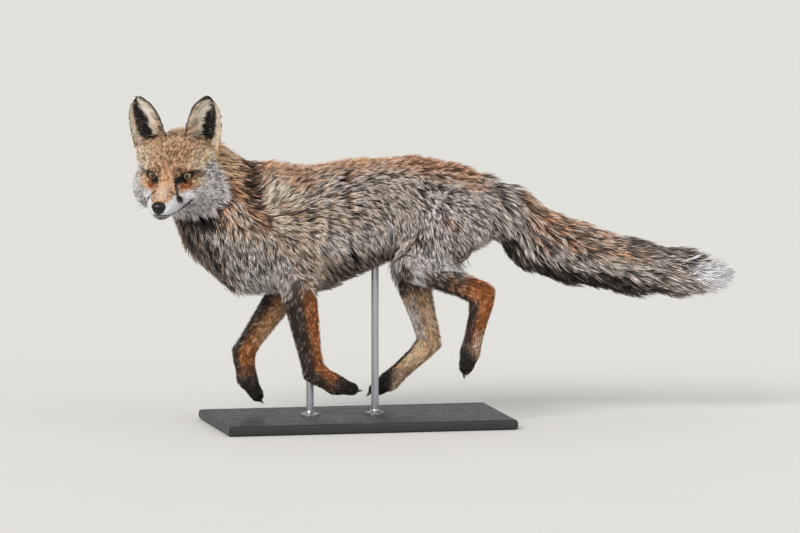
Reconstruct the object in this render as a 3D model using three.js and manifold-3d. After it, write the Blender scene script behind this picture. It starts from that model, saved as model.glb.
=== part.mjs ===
// A life-size museum model of a red fox, caught in the gathered moment of a lope with all four
// paws off the ground, its head turned to its left. Two steel rods hold it over a flat base.
//
// Units are millimetres, +Z is up, the fox runs towards -X and its left side faces -Y.
//
// How the shapes are made. Flesh is a field: a list of eggs and tapered limbs that melt into one
// another where they meet. A named piece is a skin drawn round an axis inside such a field: from
// each centre on the axis, rays run out until they leave the flesh. Neighbours are drawn from the
// same field and end on the same plane, so the coat's outline runs on across each joint.
import * as THREE from "three";
import { mergeVertices } from "three/addons/utils/BufferGeometryUtils.js";
import Module from "manifold-3d";

const wasm = await Module();
wasm.setup();

// ---- Driving dimensions ------------------------------------------------------------------
const GAP = 0.3; // between neighbouring pieces
const BASE = { length: 470, width: 250, thickness: 16, edge: 5 };
const BASE_CENTRE_X = -20;
const ROD = { radius: 6, foot: 15, length: 300 };
const RODS = { front: -98, rear: 8 }; // where each rod stands, along X

const EYE_RADIUS = 9.6;
const EAR = { width: 63, depth: 20, wall: 3.4 };
const CLAW = { length: 8, radius: 2.1, hook: 3.2 };

// The head's own frame has its origin between the eyes: x forward, y to the fox's left, z up.
const HEAD_AT = new THREE.Vector3(-343, -85, 413);
const HEAD_TURN = 65; // degrees to the fox's left of the way it runs
const HEAD_NOD = 14; // degrees that the muzzle is lowered

const point = (x, y, z) => new THREE.Vector3(x, y, z);
const radians = THREE.MathUtils.degToRad;

// ---- Flesh: fields that are negative inside ------------------------------------------------

// An egg: centre, half-lengths along x, y and z, and how far its -X end is tipped down.
function egg([x, y, z], [rx, ry, rz], tip = 0) {
  const c = Math.cos(radians(tip));
  const s = Math.sin(radians(tip));
  return (p) => {
    const dx = p.x - x;
    const dz = p.z - z;
    const a = (c * dx + s * dz) / rx;
    const b = (p.y - y) / ry;
    const h = (c * dz - s * dx) / rz;
    const k0 = Math.hypot(a, b, h);
    const k1 = Math.hypot(a / rx, b / ry, h / rz);
    return k1 < 1e-9 ? -Math.min(rx, ry, rz) : (k0 * (k0 - 1)) / k1;
  };
}

// A tapered limb from a to b, with a radius at each end; flat narrows it across the body.
function limb(a, b, ra, rb, flat = 1) {
  const axis = b.clone().sub(a);
  const squared = axis.lengthSq();
  const rel = new THREE.Vector3();
  return (p) => {
    rel.copy(p).sub(a);
    const t = THREE.MathUtils.clamp(rel.dot(axis) / squared, 0, 1);
    const away = Math.hypot(
      rel.x - axis.x * t,
      (rel.y - axis.y * t) / flat,
      rel.z - axis.z * t,
    );
    return (away - (ra + (rb - ra) * t)) * Math.min(1, flat);
  };
}

// The masses melted into one, over about blend millimetres where they meet.
function melt(blend, masses) {
  return (p) => {
    let d = masses[0](p);
    for (let i = 1; i < masses.length; i++) {
      const e = masses[i](p);
      const h = Math.max(blend - Math.abs(d - e), 0) / blend;
      d = Math.min(d, e) - (h * h * blend) / 4;
    }
    return d;
  };
}

// A pair of masses, mirrored to either side of the mid-plane.
const pair = (make, [x, y, z], size, tip) => [
  make([x, y, z], size, tip),
  make([x, -y, z], size, tip),
];

// The same flesh, thicker all over.
const growing = (field, grow) => (grow ? (p) => field(p) - grow : field);

// A field given in another frame.
function placed(field, frame) {
  const back = frame.clone().invert();
  const local = new THREE.Vector3();
  return (p) => field(local.copy(p).applyMatrix4(back));
}

// ---- Skins round an axis -------------------------------------------------------------------

// How far a ray gets from a centre before it leaves the flesh.
const MOST_STEPS = 200;
function reach(field, from, ray) {
  const p = new THREE.Vector3();
  let t = 0;
  for (let i = 0; i < MOST_STEPS; i++) {
    const d = field(p.copy(from).addScaledVector(ray, t));
    if (d > -0.02) break;
    t += Math.max(-d * 0.8, 0.02);
  }
  return t;
}

// Rings between two stations, each { at, along, lean }: along is the normal of the ring's plane
// and lean tips its rays forwards, in degrees, as a round end needs.
function between(a, b, count) {
  return Array.from({ length: count - 1 }, (_, i) => {
    const t = (i + 1) / count;
    return {
      at: a.at.clone().lerp(b.at, t),
      along: a.along.clone().lerp(b.along, t).normalize(),
      lean: 0,
    };
  });
}

// The rings of a round end about a station, from its pole to its rim, or from rim to pole.
function dome(station, count, sign) {
  const rings = Array.from({ length: count }, (_, i) => ({
    at: station.at,
    along: station.along,
    lean: (sign * 90 * (i + 1)) / (count + 1),
  }));
  return sign > 0 ? rings : rings.reverse();
}

// A chain of stations through the joints; at a bend the ring lies on the bisecting plane.
function chain(joints) {
  return joints.map((at, i) => {
    const before = joints[Math.max(i - 1, 0)];
    const after = joints[Math.min(i + 1, joints.length - 1)];
    const inward = at.clone().sub(before).normalize();
    const onward = after.clone().sub(at).normalize();
    return { at, along: inward.add(onward).normalize(), lean: 0 };
  });
}

// The closed skin along a run of stations, with so many steps in each span. An end is flat, and
// stands half a gap back from its plane, unless its dome has rings.
function skin(field, stations, { steps, sides, zero, domes = [0, 0] }) {
  const run = stations.map((s) => ({ ...s, at: s.at.clone() }));
  const start = run[0];
  const end = run[run.length - 1];
  if (!domes[0]) start.at.addScaledVector(start.along, GAP / 2);
  if (!domes[1]) end.at.addScaledVector(end.along, -GAP / 2);
  const rings = [
    ...dome(start, domes[0], -1),
    ...run.flatMap((s, i) => (i ? [...between(run[i - 1], s, steps[i - 1]), s] : [s])),
    ...dome(end, domes[1], 1),
  ];
  const position = [];
  const put = (from, ray, far) => {
    const p = from.clone().addScaledVector(ray, far);
    position.push(p.x, p.y, p.z);
  };
  const pole = ({ at, along }, sign, round) => {
    const ray = along.clone().multiplyScalar(sign);
    put(at, ray, round ? reach(field, at, ray) : 0);
  };
  pole(start, -1, domes[0]);
  for (const { at, along, lean } of rings) {
    const e1 = zero.clone().addScaledVector(along, -zero.dot(along)).normalize();
    const e2 = along.clone().cross(e1);
    const tilt = radians(lean);
    for (let j = 0; j < sides; j++) {
      const turn = (2 * Math.PI * j) / sides;
      const ray = e1
        .clone()
        .multiplyScalar(Math.cos(turn) * Math.cos(tilt))
        .addScaledVector(e2, Math.sin(turn) * Math.cos(tilt))
        .addScaledVector(along, Math.sin(tilt));
      put(at, ray, reach(field, at, ray));
    }
  }
  pole(end, 1, domes[1]);
  return closed(position, rings.length, sides);
}

// Faces over rings of points with a pole at either end, all facing out.
function closed(position, ringCount, sides) {
  const index = [];
  const at = (ring, side) => 1 + ring * sides + (side % sides);
  const last = 1 + ringCount * sides;
  for (let j = 0; j < sides; j++) {
    index.push(0, at(0, j + 1), at(0, j));
    index.push(last, at(ringCount - 1, j), at(ringCount - 1, j + 1));
    for (let i = 0; i + 1 < ringCount; i++) {
      index.push(at(i, j), at(i, j + 1), at(i + 1, j));
      index.push(at(i, j + 1), at(i + 1, j + 1), at(i + 1, j));
    }
  }
  return new THREE.BufferGeometry()
    .setAttribute("position", new THREE.Float32BufferAttribute(position, 3))
    .setIndex(index);
}

// ---- Solids: joining and cutting -----------------------------------------------------------
function solid(geometry) {
  const bare = geometry.clone();
  bare.deleteAttribute("normal");
  bare.deleteAttribute("uv");
  const merged = mergeVertices(bare, 1e-3);
  return new wasm.Manifold(
    new wasm.Mesh({
      numProp: 3,
      vertProperties: new Float32Array(merged.attributes.position.array),
      triVerts: new Uint32Array(merged.index.array),
    }),
  );
}

// The largest of a solid's separate pieces: a cut can leave crumbs.
function largest(made) {
  return made.decompose().reduce((a, b) => (b.volume() > a.volume() ? b : a));
}

function geometryOf(made) {
  const mesh = largest(made).getMesh();
  return new THREE.BufferGeometry()
    .setAttribute("position", new THREE.BufferAttribute(mesh.vertProperties, 3))
    .setIndex(new THREE.BufferAttribute(mesh.triVerts, 1));
}

const cut = (made, ...tools) => tools.reduce((left, tool) => left.subtract(tool), made);

// ---- Materials ------------------------------------------------------------------------------
const matt = (color, roughness = 0.9, metalness = 0) =>
  new THREE.MeshStandardMaterial({ color, roughness, metalness });
const LOOK = {
  russet: matt(0xa8683a),
  grizzle: matt(0x8c7a68),
  charcoal: matt(0x3a3230),
  brush: matt(0x6d5c4e),
  white: matt(0xe6e1da),
  ear: matt(0x8a6a4c),
  eye: matt(0x9a6424, 0.1),
  horn: matt(0x241f1d, 0.5),
  steel: matt(0x8d9094, 0.35, 0.9),
  board: matt(0x3c3b3a, 0.55),
};

const fox = new THREE.Group();

function add(name, geometry, material) {
  const mesh = new THREE.Mesh(geometry, material);
  mesh.name = name;
  fox.add(mesh);
}

// ---- Head -----------------------------------------------------------------------------------
const headFrame = (() => {
  const nod = radians(HEAD_NOD);
  const turn = radians(HEAD_TURN);
  const forward = point(-Math.cos(turn), -Math.sin(turn), 0).multiplyScalar(Math.cos(nod));
  forward.z = -Math.sin(nod);
  const left = point(0, 0, 1).cross(forward).normalize();
  const up = forward.clone().cross(left);
  return new THREE.Matrix4().makeBasis(forward, left, up).setPosition(HEAD_AT);
})();
const inHead = (x, y, z) => point(x, y, z).applyMatrix4(headFrame);
const headAxis = (x, y, z) => point(x, y, z).transformDirection(headFrame);
const UP = point(0, 0, 1);
const ACROSS = point(0, 1, 0);

const headFlesh = placed(
  melt(16, [
    egg([-46, 0, 12], [47, 47, 39]), // braincase
    egg([-74, 0, 26], [28, 32, 32]), // crest of the nape, between the ears
    egg([-15, 0, 3], [31, 20, 18]), // brow
    ...pair(egg, [-16, 25, -4], [11.5, 10.5, 10]), // rims of the eyes
    ...pair(egg, [-60, 47, 13], [22, 21, 25]), // roots of the ears
    limb(point(4, 0, -13), point(69, 0, -29), 18.5, 12.5, 0.98), // muzzle
    limb(point(-20, 0, -38), point(59, 0, -43), 26, 8.5, 0.9), // lower jaw
    ...pair(egg, [-32, 34, -18], [28, 23, 22]), // cheekbones
    ...pair(egg, [-50, 44, -37], [26, 32, 36]), // cheek ruff
    egg([-44, 0, -46], [34, 40, 34]), // throat ruff
    ...pair(egg, [43, 11, -31.5], [25, 12.5, 12]), // whisker pads
    ...[-1, 1].map((side) => limb(point(34, side * 14, -34), point(2, side * 31, -38), 11, 13)), // lips
  ]),
  headFrame,
);

const eyeAt = { left: [-12, 27.5, -3.5], right: [-12, -27.5, -3.5] };
const EYE_OUTWARD = 3; // degrees that the eyes face outwards
const EYE_SLANT = 14; // degrees that their inner corners are lowered

function eyeball(side, grow = 0) {
  const ball = new THREE.SphereGeometry(EYE_RADIUS + grow, 14, 9);
  return ball.applyMatrix4(new THREE.Matrix4().setPosition(inHead(...eyeAt[side])));
}

// What opens the lids: an almond pointing out of the head along the eye's own axis.
function lidOpening(side) {
  const sign = side === "left" ? 1 : -1;
  const almond = new THREE.SphereGeometry(1, 12, 7).scale(14, 10.2, 7.4).translate(8, 0, 0);
  const turned = new THREE.Matrix4()
    .makeRotationZ(sign * radians(EYE_OUTWARD))
    .multiply(new THREE.Matrix4().makeRotationX(sign * radians(EYE_SLANT)))
    .setPosition(...eyeAt[side]);
  return almond.applyMatrix4(turned).applyMatrix4(headFrame);
}

// The leather nose: a blunt pad, wider at its top.
function nosePad(grow = 0) {
  const pad = melt(4, [
    egg([76, 0, -23.5], [10 + grow, 11.5 + grow, 7.5 + grow]),
    egg([76, 0, -30], [9 + grow, 8 + grow, 6.5 + grow]),
  ]);
  const ends = [72, 78].map((x) => ({ at: inHead(x, 0, -24), along: headAxis(1, 0, 0), lean: 0 }));
  return skin(placed(pad, headFrame), ends, { steps: [1], sides: 14, zero: UP, domes: [2, 3] });
}

// A wedge in the head's frame that holds the lower jaw: below the line of the mouth.
function jawWedge(grow = 0) {
  const mouth = new THREE.Shape();
  mouth.moveTo(16 - grow, -100);
  mouth.lineTo(16 - grow, -38 + grow);
  mouth.lineTo(48, -43 + grow);
  mouth.lineTo(100, -40 + grow);
  mouth.lineTo(100, -100);
  const slab = new THREE.ExtrudeGeometry(mouth, { depth: 120, bevelEnabled: false });
  slab.translate(0, 0, -60).rotateX(Math.PI / 2);
  return slab.applyMatrix4(headFrame);
}

// ---- Ears: a thick leaf, cupped forwards --------------------------------------------------------
// The middle of each ear's base and its tip in the head's frame, and how it is turned outwards.
const EARS = {
  left: { foot: [-50, 40, 22], tip: [-40, 61, 121], opens: 8 },
  right: { foot: [-50, -37, 22], tip: [-40, -52, 118], opens: -8 },
};

const earWidth = (t) => EAR.width * Math.sqrt(Math.max(1 - t ** 2.6, 0)) * (0.94 + 0.18 * t);

function ear(plan) {
  const foot = inHead(...plan.foot);
  const tip = inHead(...plan.tip);
  const rise = tip.clone().sub(foot);
  const opens = radians(plan.opens);
  const open = headAxis(Math.cos(opens), Math.sin(opens), 0);
  open.addScaledVector(rise, -open.dot(rise) / rise.lengthSq()).normalize();
  const wide = rise.clone().cross(open).normalize();
  const RINGS = 9;
  const HALF = 5;
  const position = [foot.x, foot.y, foot.z];
  for (let i = 0; i <= RINGS; i++) {
    const t = -0.18 + (1.17 * i) / RINGS; // from under the skull's surface to just below the tip
    const up = foot.clone().addScaledVector(rise, t);
    const half = earWidth(Math.max(t, 0)) / 2;
    const depth = EAR.depth * (1 - 0.75 * Math.max(t, 0));
    for (let j = 0; j < 4 * HALF; j++) {
      const back = j < 2 * HALF;
      const across = back ? 1 - j / HALF : (j - 2 * HALF) / HALF - 1;
      const bow = depth * (across ** 2 - 1) + (back ? 0 : EAR.wall);
      const side = half * across * (back ? 1 : 0.94);
      const p = up.clone().addScaledVector(wide, side).addScaledVector(open, bow);
      position.push(p.x, p.y, p.z);
    }
  }
  position.push(tip.x, tip.y, tip.z);
  return closed(position, RINGS + 1, 4 * HALF);
}

// ---- Neck and trunk ------------------------------------------------------------------------------
const bodyFlesh = melt(30, [
  limb(inHead(-74, 0, -26), point(-236, -8, 342), 50, 74, 0.88), // neck in its winter ruff
  limb(point(-300, -14, 448), point(-214, -6, 375), 44, 46), // nape
  limb(point(-262, -14, 316), point(-205, 0, 262), 44, 50, 0.9), // throat and breast
  egg([-158, 0, 320], [88, 68, 107], 12), // shoulders
  egg([-92, 0, 316], [96, 66, 104], -4), // ribcage
  egg([-20, 0, 342], [88, 59, 88], -14), // belly
  egg([66, 0, 353], [84, 55, 80], -6), // loin
  egg([146, 0, 344], [62, 50, 76], 22), // croup
]);

const head = [66, 14, -36, -58].map((x, i) => ({
  at: inHead(x, 0, [-29, -18, -12, -12][i]),
  along: headAxis(-1, 0, 0),
  lean: 0,
}));
const trunk = chain([
  inHead(-46, 0, -14), // inside the back of the skull
  point(-196, 0, 318), // shoulders
  point(-48, 0, 326), // midriff
  point(72, 0, 346), // loin
  point(152, 0, 338), // croup
]);
const TRUNK = { steps: [9, 7, 6, 4], sides: 24, zero: UP };

const headSkin = (grow = 0) =>
  skin(growing(headFlesh, grow), head, { steps: [5, 9, 3], sides: 26, zero: UP, domes: [3, 4] });
const neckSkin = () =>
  skin(bodyFlesh, trunk.slice(0, 2), { ...TRUNK, steps: [TRUNK.steps[0]], domes: [3, 0] });

// The neck and trunk as one solid, a gap too big: what the legs, tail and ears are cut by.
const trunkGrown = solid(skin(growing(bodyFlesh, GAP), trunk, { ...TRUNK, domes: [3, 5] }));

// ---- Tail ---------------------------------------------------------------------------------------
const BRUSH = [
  [170, 0, 362, 46],
  [221, 0, 335, 45],
  [270, 1, 294, 49],
  [334, 3, 268, 50],
  [432, 6, 246, 46],
  [498, 7, 238, 41],
  [543, 6, 233, 33],
  [568, 5, 231, 20],
];
const brushPoint = ([x, y, z]) => point(x, y, z);
const brushFlesh = melt(
  16,
  BRUSH.slice(1).map((to, i) => {
    const from = BRUSH[i];
    return limb(brushPoint(from), brushPoint(to), from[3], to[3], 0.94);
  }),
);
const brush = chain(BRUSH.map(brushPoint));

// ---- Legs ----------------------------------------------------------------------------------------
// Each leg runs through its joints from inside the trunk to the toes, with a radius at each. The
// ham is a second mass behind the thigh: its two ends, and a radius at each.
const LEGS = {
  foreleg_left: {
    parts: ["upper", "forearm", "paw"],
    joints: [[-138, -44, 275], [-128, -50, 232], [-102, -43, 92], [-66, -40, 70], [-42, -38, 63]],
    radii: [34, 34, 17, 15],
  },
  foreleg_right: {
    parts: ["upper", "forearm", "paw"],
    joints: [[-138, 42, 272], [-118, 48, 228], [-199, 38, 118], [-194, 35, 75], [-180, 34, 51]],
    radii: [32, 32, 17, 15],
  },
  hindleg_left: {
    parts: ["thigh", "shank", "metatarsus", "paw"],
    joints: [[128, -36, 336], [58, -50, 262], [177, -43, 209], [155, -42, 118], [149, -42, 96]],
    radii: [57, 33, 19, 14.5],
    ham: [[150, -40, 318], [106, -46, 258], [40, 27]],
  },
  hindleg_right: {
    parts: ["thigh", "shank", "metatarsus", "paw"],
    joints: [[128, 36, 336], [73, 49, 250], [108, 41, 124], [41, 37, 65], [20, 36, 53]],
    radii: [55, 36, 17.5, 14.5],
    ham: [[142, 40, 314], [108, 46, 256], [38, 27]],
  },
};
const FLAT = [0.62, 0.8, 0.84]; // each length's width across the body, against its depth
const STEPS = { upper: 3, thigh: 5, forearm: 6, shank: 6, metatarsus: 4, paw: 3 };
const TOES = [-1.5, -0.5, 0.5, 1.5]; // places across the paw, in toe widths
const TOE = { width: 8.8, radius: 10.5, flat: 0.62, lead: 5 }; // the middle two lead the outer two

// Where a leg's toes start and end, and which way the paw points and its sole faces.
function toesOf({ joints }) {
  const [knuckle, tip] = joints.slice(-2).map((j) => point(...j));
  const ahead = tip.clone().sub(knuckle).normalize();
  const sole = ahead.clone().cross(ACROSS).normalize();
  const ends = TOES.map((place) => {
    const aside = ACROSS.clone().multiplyScalar(place * TOE.width);
    const lead = Math.abs(place) < 1 ? TOE.lead : 0;
    return {
      from: knuckle.clone().addScaledVector(aside, 0.7),
      to: tip.clone().add(aside).addScaledVector(ahead, lead),
    };
  });
  return { ahead, sole, ends };
}

// The flesh of a leg's first length, and that of the rest, which starts a little thinner inside it.
function legFlesh(plan) {
  const at = plan.joints.map((j) => point(...j));
  const spans = at
    .slice(1, -1)
    .map((to, i) => limb(at[i], to, plan.radii[i] - (i === 1 ? 3 : 0), plan.radii[i + 1], FLAT[i]));
  const { radius, flat } = TOE;
  const toes = toesOf(plan).ends.map(({ from, to }) => limb(from, to, radius + 1, radius, flat));
  const [top, bottom, radii] = plan.ham ?? [];
  const ham = plan.ham ? [limb(point(...top), point(...bottom), ...radii, FLAT[0])] : [];
  return [melt(25, [spans[0], ...ham]), melt(10, [...spans.slice(1), melt(2, toes)])];
}

// One length of a leg. Only the first has its own flesh, and both its ends are round.
function legLength(plan, i, grow = 0) {
  const [top, rest] = legFlesh(plan);
  const stations = chain(plan.joints.map((j) => point(...j)));
  const last = i === plan.parts.length - 1;
  const run = last ? stations.slice(i) : stations.slice(i, i + 2);
  return skin(growing(i ? rest : top, grow), run, {
    steps: run.slice(1).map(() => STEPS[plan.parts[i]]),
    sides: last ? 18 : 12,
    zero: ACROSS,
    domes: [i < 2 ? 3 : 0, last || !i ? 3 : 0],
  });
}

// A claw: a curved cone that leaves the end of a toe and hooks towards the sole.
function claw(to, ahead, sole) {
  const SIDES = 6;
  const BENDS = 3;
  const position = [to.x, to.y, to.z];
  for (let i = 0; i < BENDS; i++) {
    const t = i / BENDS;
    const middle = to
      .clone()
      .addScaledVector(ahead, (TOE.radius + CLAW.length) * t)
      .addScaledVector(sole, CLAW.hook * (t * t - 0.4));
    for (let j = 0; j < SIDES; j++) {
      const turn = (2 * Math.PI * j) / SIDES;
      const p = middle
        .clone()
        .addScaledVector(ACROSS, CLAW.radius * (1 - 0.5 * t) * 0.8 * Math.cos(turn))
        .addScaledVector(sole, CLAW.radius * (1 - 0.5 * t) * Math.sin(turn));
      position.push(p.x, p.y, p.z);
    }
  }
  const tip = to
    .clone()
    .addScaledVector(ahead, TOE.radius + CLAW.length)
    .addScaledVector(sole, CLAW.hook * 0.8);
  position.push(tip.x, tip.y, tip.z);
  return closed(position, BENDS, SIDES);
}

// ---- The pieces ------------------------------------------------------------------------------------
const headGrown = solid(headSkin(GAP));

add("neck", geometryOf(cut(solid(neckSkin()), headGrown)), LOOK.russet);
["chest", "belly", "rump"].forEach((name, i) => {
  const ends = trunk.slice(i + 1, i + 3);
  const domes = [0, name === "rump" ? 5 : 0];
  add(name, skin(bodyFlesh, ends, { ...TRUNK, steps: [TRUNK.steps[i + 1]], domes }), LOOK.grizzle);
});

// Head, less the sockets, the nose and the jaw that are set into it.
const eyes = ["left", "right"];
const wholeHead = cut(
  solid(headSkin()),
  solid(nosePad(GAP)),
  ...eyes.map((side) => solid(eyeball(side, GAP)).add(solid(lidOpening(side)))),
);
const jawBlock = solid(jawWedge());
add("head", geometryOf(cut(wholeHead, solid(jawWedge(GAP)))), LOOK.russet);
add("lower_jaw", geometryOf(wholeHead.intersect(jawBlock)), LOOK.white);
add("nose", nosePad(), LOOK.horn);
for (const side of eyes) {
  add(`eye_${side}`, eyeball(side), LOOK.eye);
  const leaf = solid(ear(EARS[side]));
  add(`ear_${side}`, geometryOf(cut(leaf, headGrown, trunkGrown)), LOOK.ear);
}

// Tail, in three lengths: the first is cut back to the rump and the thighs.
const thighsGrown = [LEGS.hindleg_left, LEGS.hindleg_right].map((leg) =>
  solid(legLength(leg, 0, GAP)),
);
const TAIL_CUTS = { base: [0, 3], middle: [3, 5], tip: [5, 7] };
for (const [name, [from, to]] of Object.entries(TAIL_CUTS)) {
  const run = brush.slice(from, to + 1);
  const made = skin(brushFlesh, run, {
    steps: run.slice(1).map(() => (name === "base" ? 3 : 2)),
    sides: 18,
    zero: UP,
    domes: [from ? 0 : 2, name === "tip" ? 3 : 0],
  });
  const trimmed = from ? made : geometryOf(cut(solid(made), trunkGrown, ...thighsGrown));
  add(`tail_${name}`, trimmed, name === "tip" ? LOOK.white : LOOK.brush);
}

// Legs: the first length is cut back to the trunk's surface, and the second to the first's.
for (const [leg, plan] of Object.entries(LEGS)) {
  const top = solid(legLength(plan, 0));
  add(`${leg}_${plan.parts[0]}`, geometryOf(cut(top, trunkGrown)), LOOK.grizzle);
  const next = solid(legLength(plan, 1));
  const topGrown = solid(legLength(plan, 0, GAP));
  add(`${leg}_${plan.parts[1]}`, geometryOf(cut(next, topGrown, trunkGrown)), LOOK.charcoal);
  for (let i = 2; i < plan.parts.length; i++) {
    add(`${leg}_${plan.parts[i]}`, legLength(plan, i), LOOK.charcoal);
  }
  const pawGrown = solid(legLength(plan, plan.parts.length - 1, GAP));
  const { ahead, sole, ends } = toesOf(plan);
  ends.forEach(({ to }, i) => {
    const horn = cut(solid(claw(to, ahead, sole)), pawGrown);
    add(`${leg}_claw_${i + 1}`, geometryOf(horn), LOOK.horn);
  });
}

// ---- Stand ---------------------------------------------------------------------------------------
function board() {
  const { length, width, thickness, edge } = BASE;
  const [w, d] = [length / 2 - edge, width / 2 - edge];
  const corners = [
    [-w, -d],
    [w, -d],
    [w, d],
    [-w, d],
  ];
  const outline = new THREE.Shape(corners.map((p) => new THREE.Vector2(...p)));
  const slab = new THREE.ExtrudeGeometry(outline, {
    depth: thickness - 2 * edge,
    bevelSize: edge,
    bevelThickness: edge,
    bevelSegments: 3,
  });
  return slab.translate(BASE_CENTRE_X, 0, edge);
}

// A rod with a turned foot, long enough to reach into the body, where it is cut off.
function rod(x) {
  const profile = [
    [0, 0],
    [ROD.foot, 0],
    [ROD.foot, 3],
    [ROD.radius + 1.5, 5],
    [ROD.radius, 8],
    [ROD.radius, ROD.length],
    [0, ROD.length],
  ];
  const turned = new THREE.LatheGeometry(profile.map((p) => new THREE.Vector2(...p)), 20);
  turned.rotateX(Math.PI / 2).translate(x, 0, BASE.thickness + GAP);
  return geometryOf(cut(solid(turned), trunkGrown));
}

add("stand_base", board(), LOOK.board);
for (const [name, x] of Object.entries(RODS)) add(`stand_rod_${name}`, rod(x), LOOK.steel);

// The part's frame: its origin is under the middle of its bounds, on the floor.
const bounds = new THREE.Box3().setFromObject(fox, true);
const middle = bounds.getCenter(new THREE.Vector3());
fox.position.set(-middle.x, -middle.y, -bounds.min.z);

export default fox;
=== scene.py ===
# %% [markdown]
# # A red fox in mid-stride, on its display stand
#
# This notebook dresses a plain solid model of a fox in Blender. The solids give the true size and the
# outline out to the tips of the coat. Here they become one skin without seams, and then the things that
# make an animal: eyes with lids, a leather nose, whiskers, claws, and a winter coat of many thousand small
# tufts that lie the way that the hair of a fox lies. Lengths in the text are in millimetres, and Blender
# works in metres.

# %% The frame and the tools
import math

import bpy
import numpy as np
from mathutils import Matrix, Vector
from mathutils.bvhtree import BVHTree
from mathutils.kdtree import KDTree


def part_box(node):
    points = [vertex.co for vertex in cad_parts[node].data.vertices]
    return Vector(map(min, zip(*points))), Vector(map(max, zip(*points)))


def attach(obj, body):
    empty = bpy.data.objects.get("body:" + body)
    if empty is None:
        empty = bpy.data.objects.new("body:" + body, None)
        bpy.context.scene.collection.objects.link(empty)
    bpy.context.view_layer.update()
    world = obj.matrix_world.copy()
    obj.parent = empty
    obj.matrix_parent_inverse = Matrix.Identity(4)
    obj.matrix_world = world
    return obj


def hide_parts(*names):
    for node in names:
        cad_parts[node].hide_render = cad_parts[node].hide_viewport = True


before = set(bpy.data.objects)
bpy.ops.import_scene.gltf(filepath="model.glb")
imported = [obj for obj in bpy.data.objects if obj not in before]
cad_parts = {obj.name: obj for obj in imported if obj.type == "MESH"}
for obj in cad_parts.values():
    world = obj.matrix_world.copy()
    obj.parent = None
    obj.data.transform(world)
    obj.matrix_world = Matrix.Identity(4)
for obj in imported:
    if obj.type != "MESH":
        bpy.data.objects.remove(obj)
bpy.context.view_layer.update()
MM = 0.001

# %% [markdown]
# ## Where things are
#
# Every place below is given in millimetres in one of two simple frames. The fox's own frame starts on the
# floor under its loin: x runs back towards the tail, y to the fox's right, z up. It is found from the
# stand's board, whose middle is 20 in front of that point. The head is turned to the side, so it has a
# frame of its own that starts between the eyes: forwards to the nose, to the fox's left, and up. That one
# is found from the two eyes and the nose, so it follows the solids if they ever change.


# %% The fox's frame and the head's frame
def middle(node):
    low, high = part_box(node)
    return (low + high) / 2


board_middle = middle("stand_base")
START = np.array((board_middle.x + 0.020, board_middle.y, 0.0))

EYE_DROP = 14.34  # degrees that the nose lies below straight ahead, seen from the eyes
EYES_AT = (-12.0, 27.5, -3.5)  # the left eye in the head's frame; the right one mirrors it

eyes_middle = (middle("eye_left") + middle("eye_right")) / 2
left_axis = (middle("eye_left") - middle("eye_right")).normalized()
to_nose = middle("nose") - eyes_middle
to_nose = (to_nose - left_axis * to_nose.dot(left_axis)).normalized()
above_nose = to_nose.cross(left_axis)
drop = math.radians(EYE_DROP)
forward_axis = to_nose * math.cos(drop) + above_nose * math.sin(drop)
up_axis = forward_axis.cross(left_axis)
HEAD_AXES = np.array((forward_axis, left_axis, up_axis))
HEAD_START = np.array(eyes_middle) - np.array((EYES_AT[0], 0, EYES_AT[2])) * MM @ HEAD_AXES


def from_fox(*place):
    """A place in the fox's frame, in millimetres, as a place in the scene."""
    return START + np.array(place, dtype=float) * MM


def to_fox(points):
    return (points - START) / MM


def from_head(*place):
    """A place in the head's frame, in millimetres, as a place in the scene."""
    return HEAD_START + np.array(place, dtype=float) * MM @ HEAD_AXES


def to_head(points):
    return (points - HEAD_START) @ HEAD_AXES.T / MM


print("head starts at", HEAD_START.round(4), "looks along", HEAD_AXES[0].round(3))

# %% [markdown]
# ## Camera, light and floor
#
# A long lens far away flattens the view, as it does from across a meadow. The camera looks at the fox's
# left side, from a little ahead of it and a little above. Light comes from a pale sky all round, with one
# big soft lamp high on the camera's left and a weaker one on its right, so that the fur shows its form
# without hard shadows. The floor is one wide pale sheet.

# %% The camera
CAMERA_TURN = math.radians(-12)  # ahead of the fox's side
CAMERA_RISE = math.radians(6)
CAMERA_AWAY = 18.0
VIEW_WIDTH = 1.28  # metres of fox across the picture
SENSOR = 36  # millimetres
aim = from_fox(52.4, 15.8, 250.6)


def towards(turn, rise):
    """The direction that lies `turn` ahead of the fox's left side and `rise` above the floor."""
    return Vector((math.sin(turn) * math.cos(rise), -math.cos(turn) * math.cos(rise), math.sin(rise)))


outward = towards(CAMERA_TURN, CAMERA_RISE)
bpy.ops.object.camera_add(location=Vector(aim) + outward * CAMERA_AWAY)
camera = bpy.context.object
camera.rotation_euler = outward.to_track_quat("Z", "Y").to_euler()
camera.data.sensor_width = SENSOR
camera.data.lens = SENSOR * CAMERA_AWAY / VIEW_WIDTH
camera.data.clip_end = 200
bpy.context.scene.camera = camera
print("camera at", tuple(round(v, 3) for v in camera.location), "lens", round(camera.data.lens, 1))

# %% The lamps and the sky
SKY_STRENGTH = 0.66
world = bpy.data.worlds.new("pale sky")
bpy.context.scene.world = world
world.use_nodes = True
sky = world.node_tree.nodes["Background"].inputs
sky["Color"].default_value = (0.96, 0.98, 1.0, 1)
sky["Strength"].default_value = SKY_STRENGTH


def soft_sun(name, strength, width, azimuth, height, colour):
    """A wide sun: `azimuth` counts from the camera's side, positive to its left."""
    bpy.ops.object.light_add(type="SUN")
    lamp = bpy.context.object
    lamp.name = name
    lamp.data.energy = strength
    lamp.data.angle = math.radians(width)
    lamp.data.color = colour
    beam = towards(CAMERA_TURN - math.radians(azimuth), math.radians(height))
    lamp.rotation_euler = beam.to_track_quat("Z", "Y").to_euler()
    lamp.location = beam * 3


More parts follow.
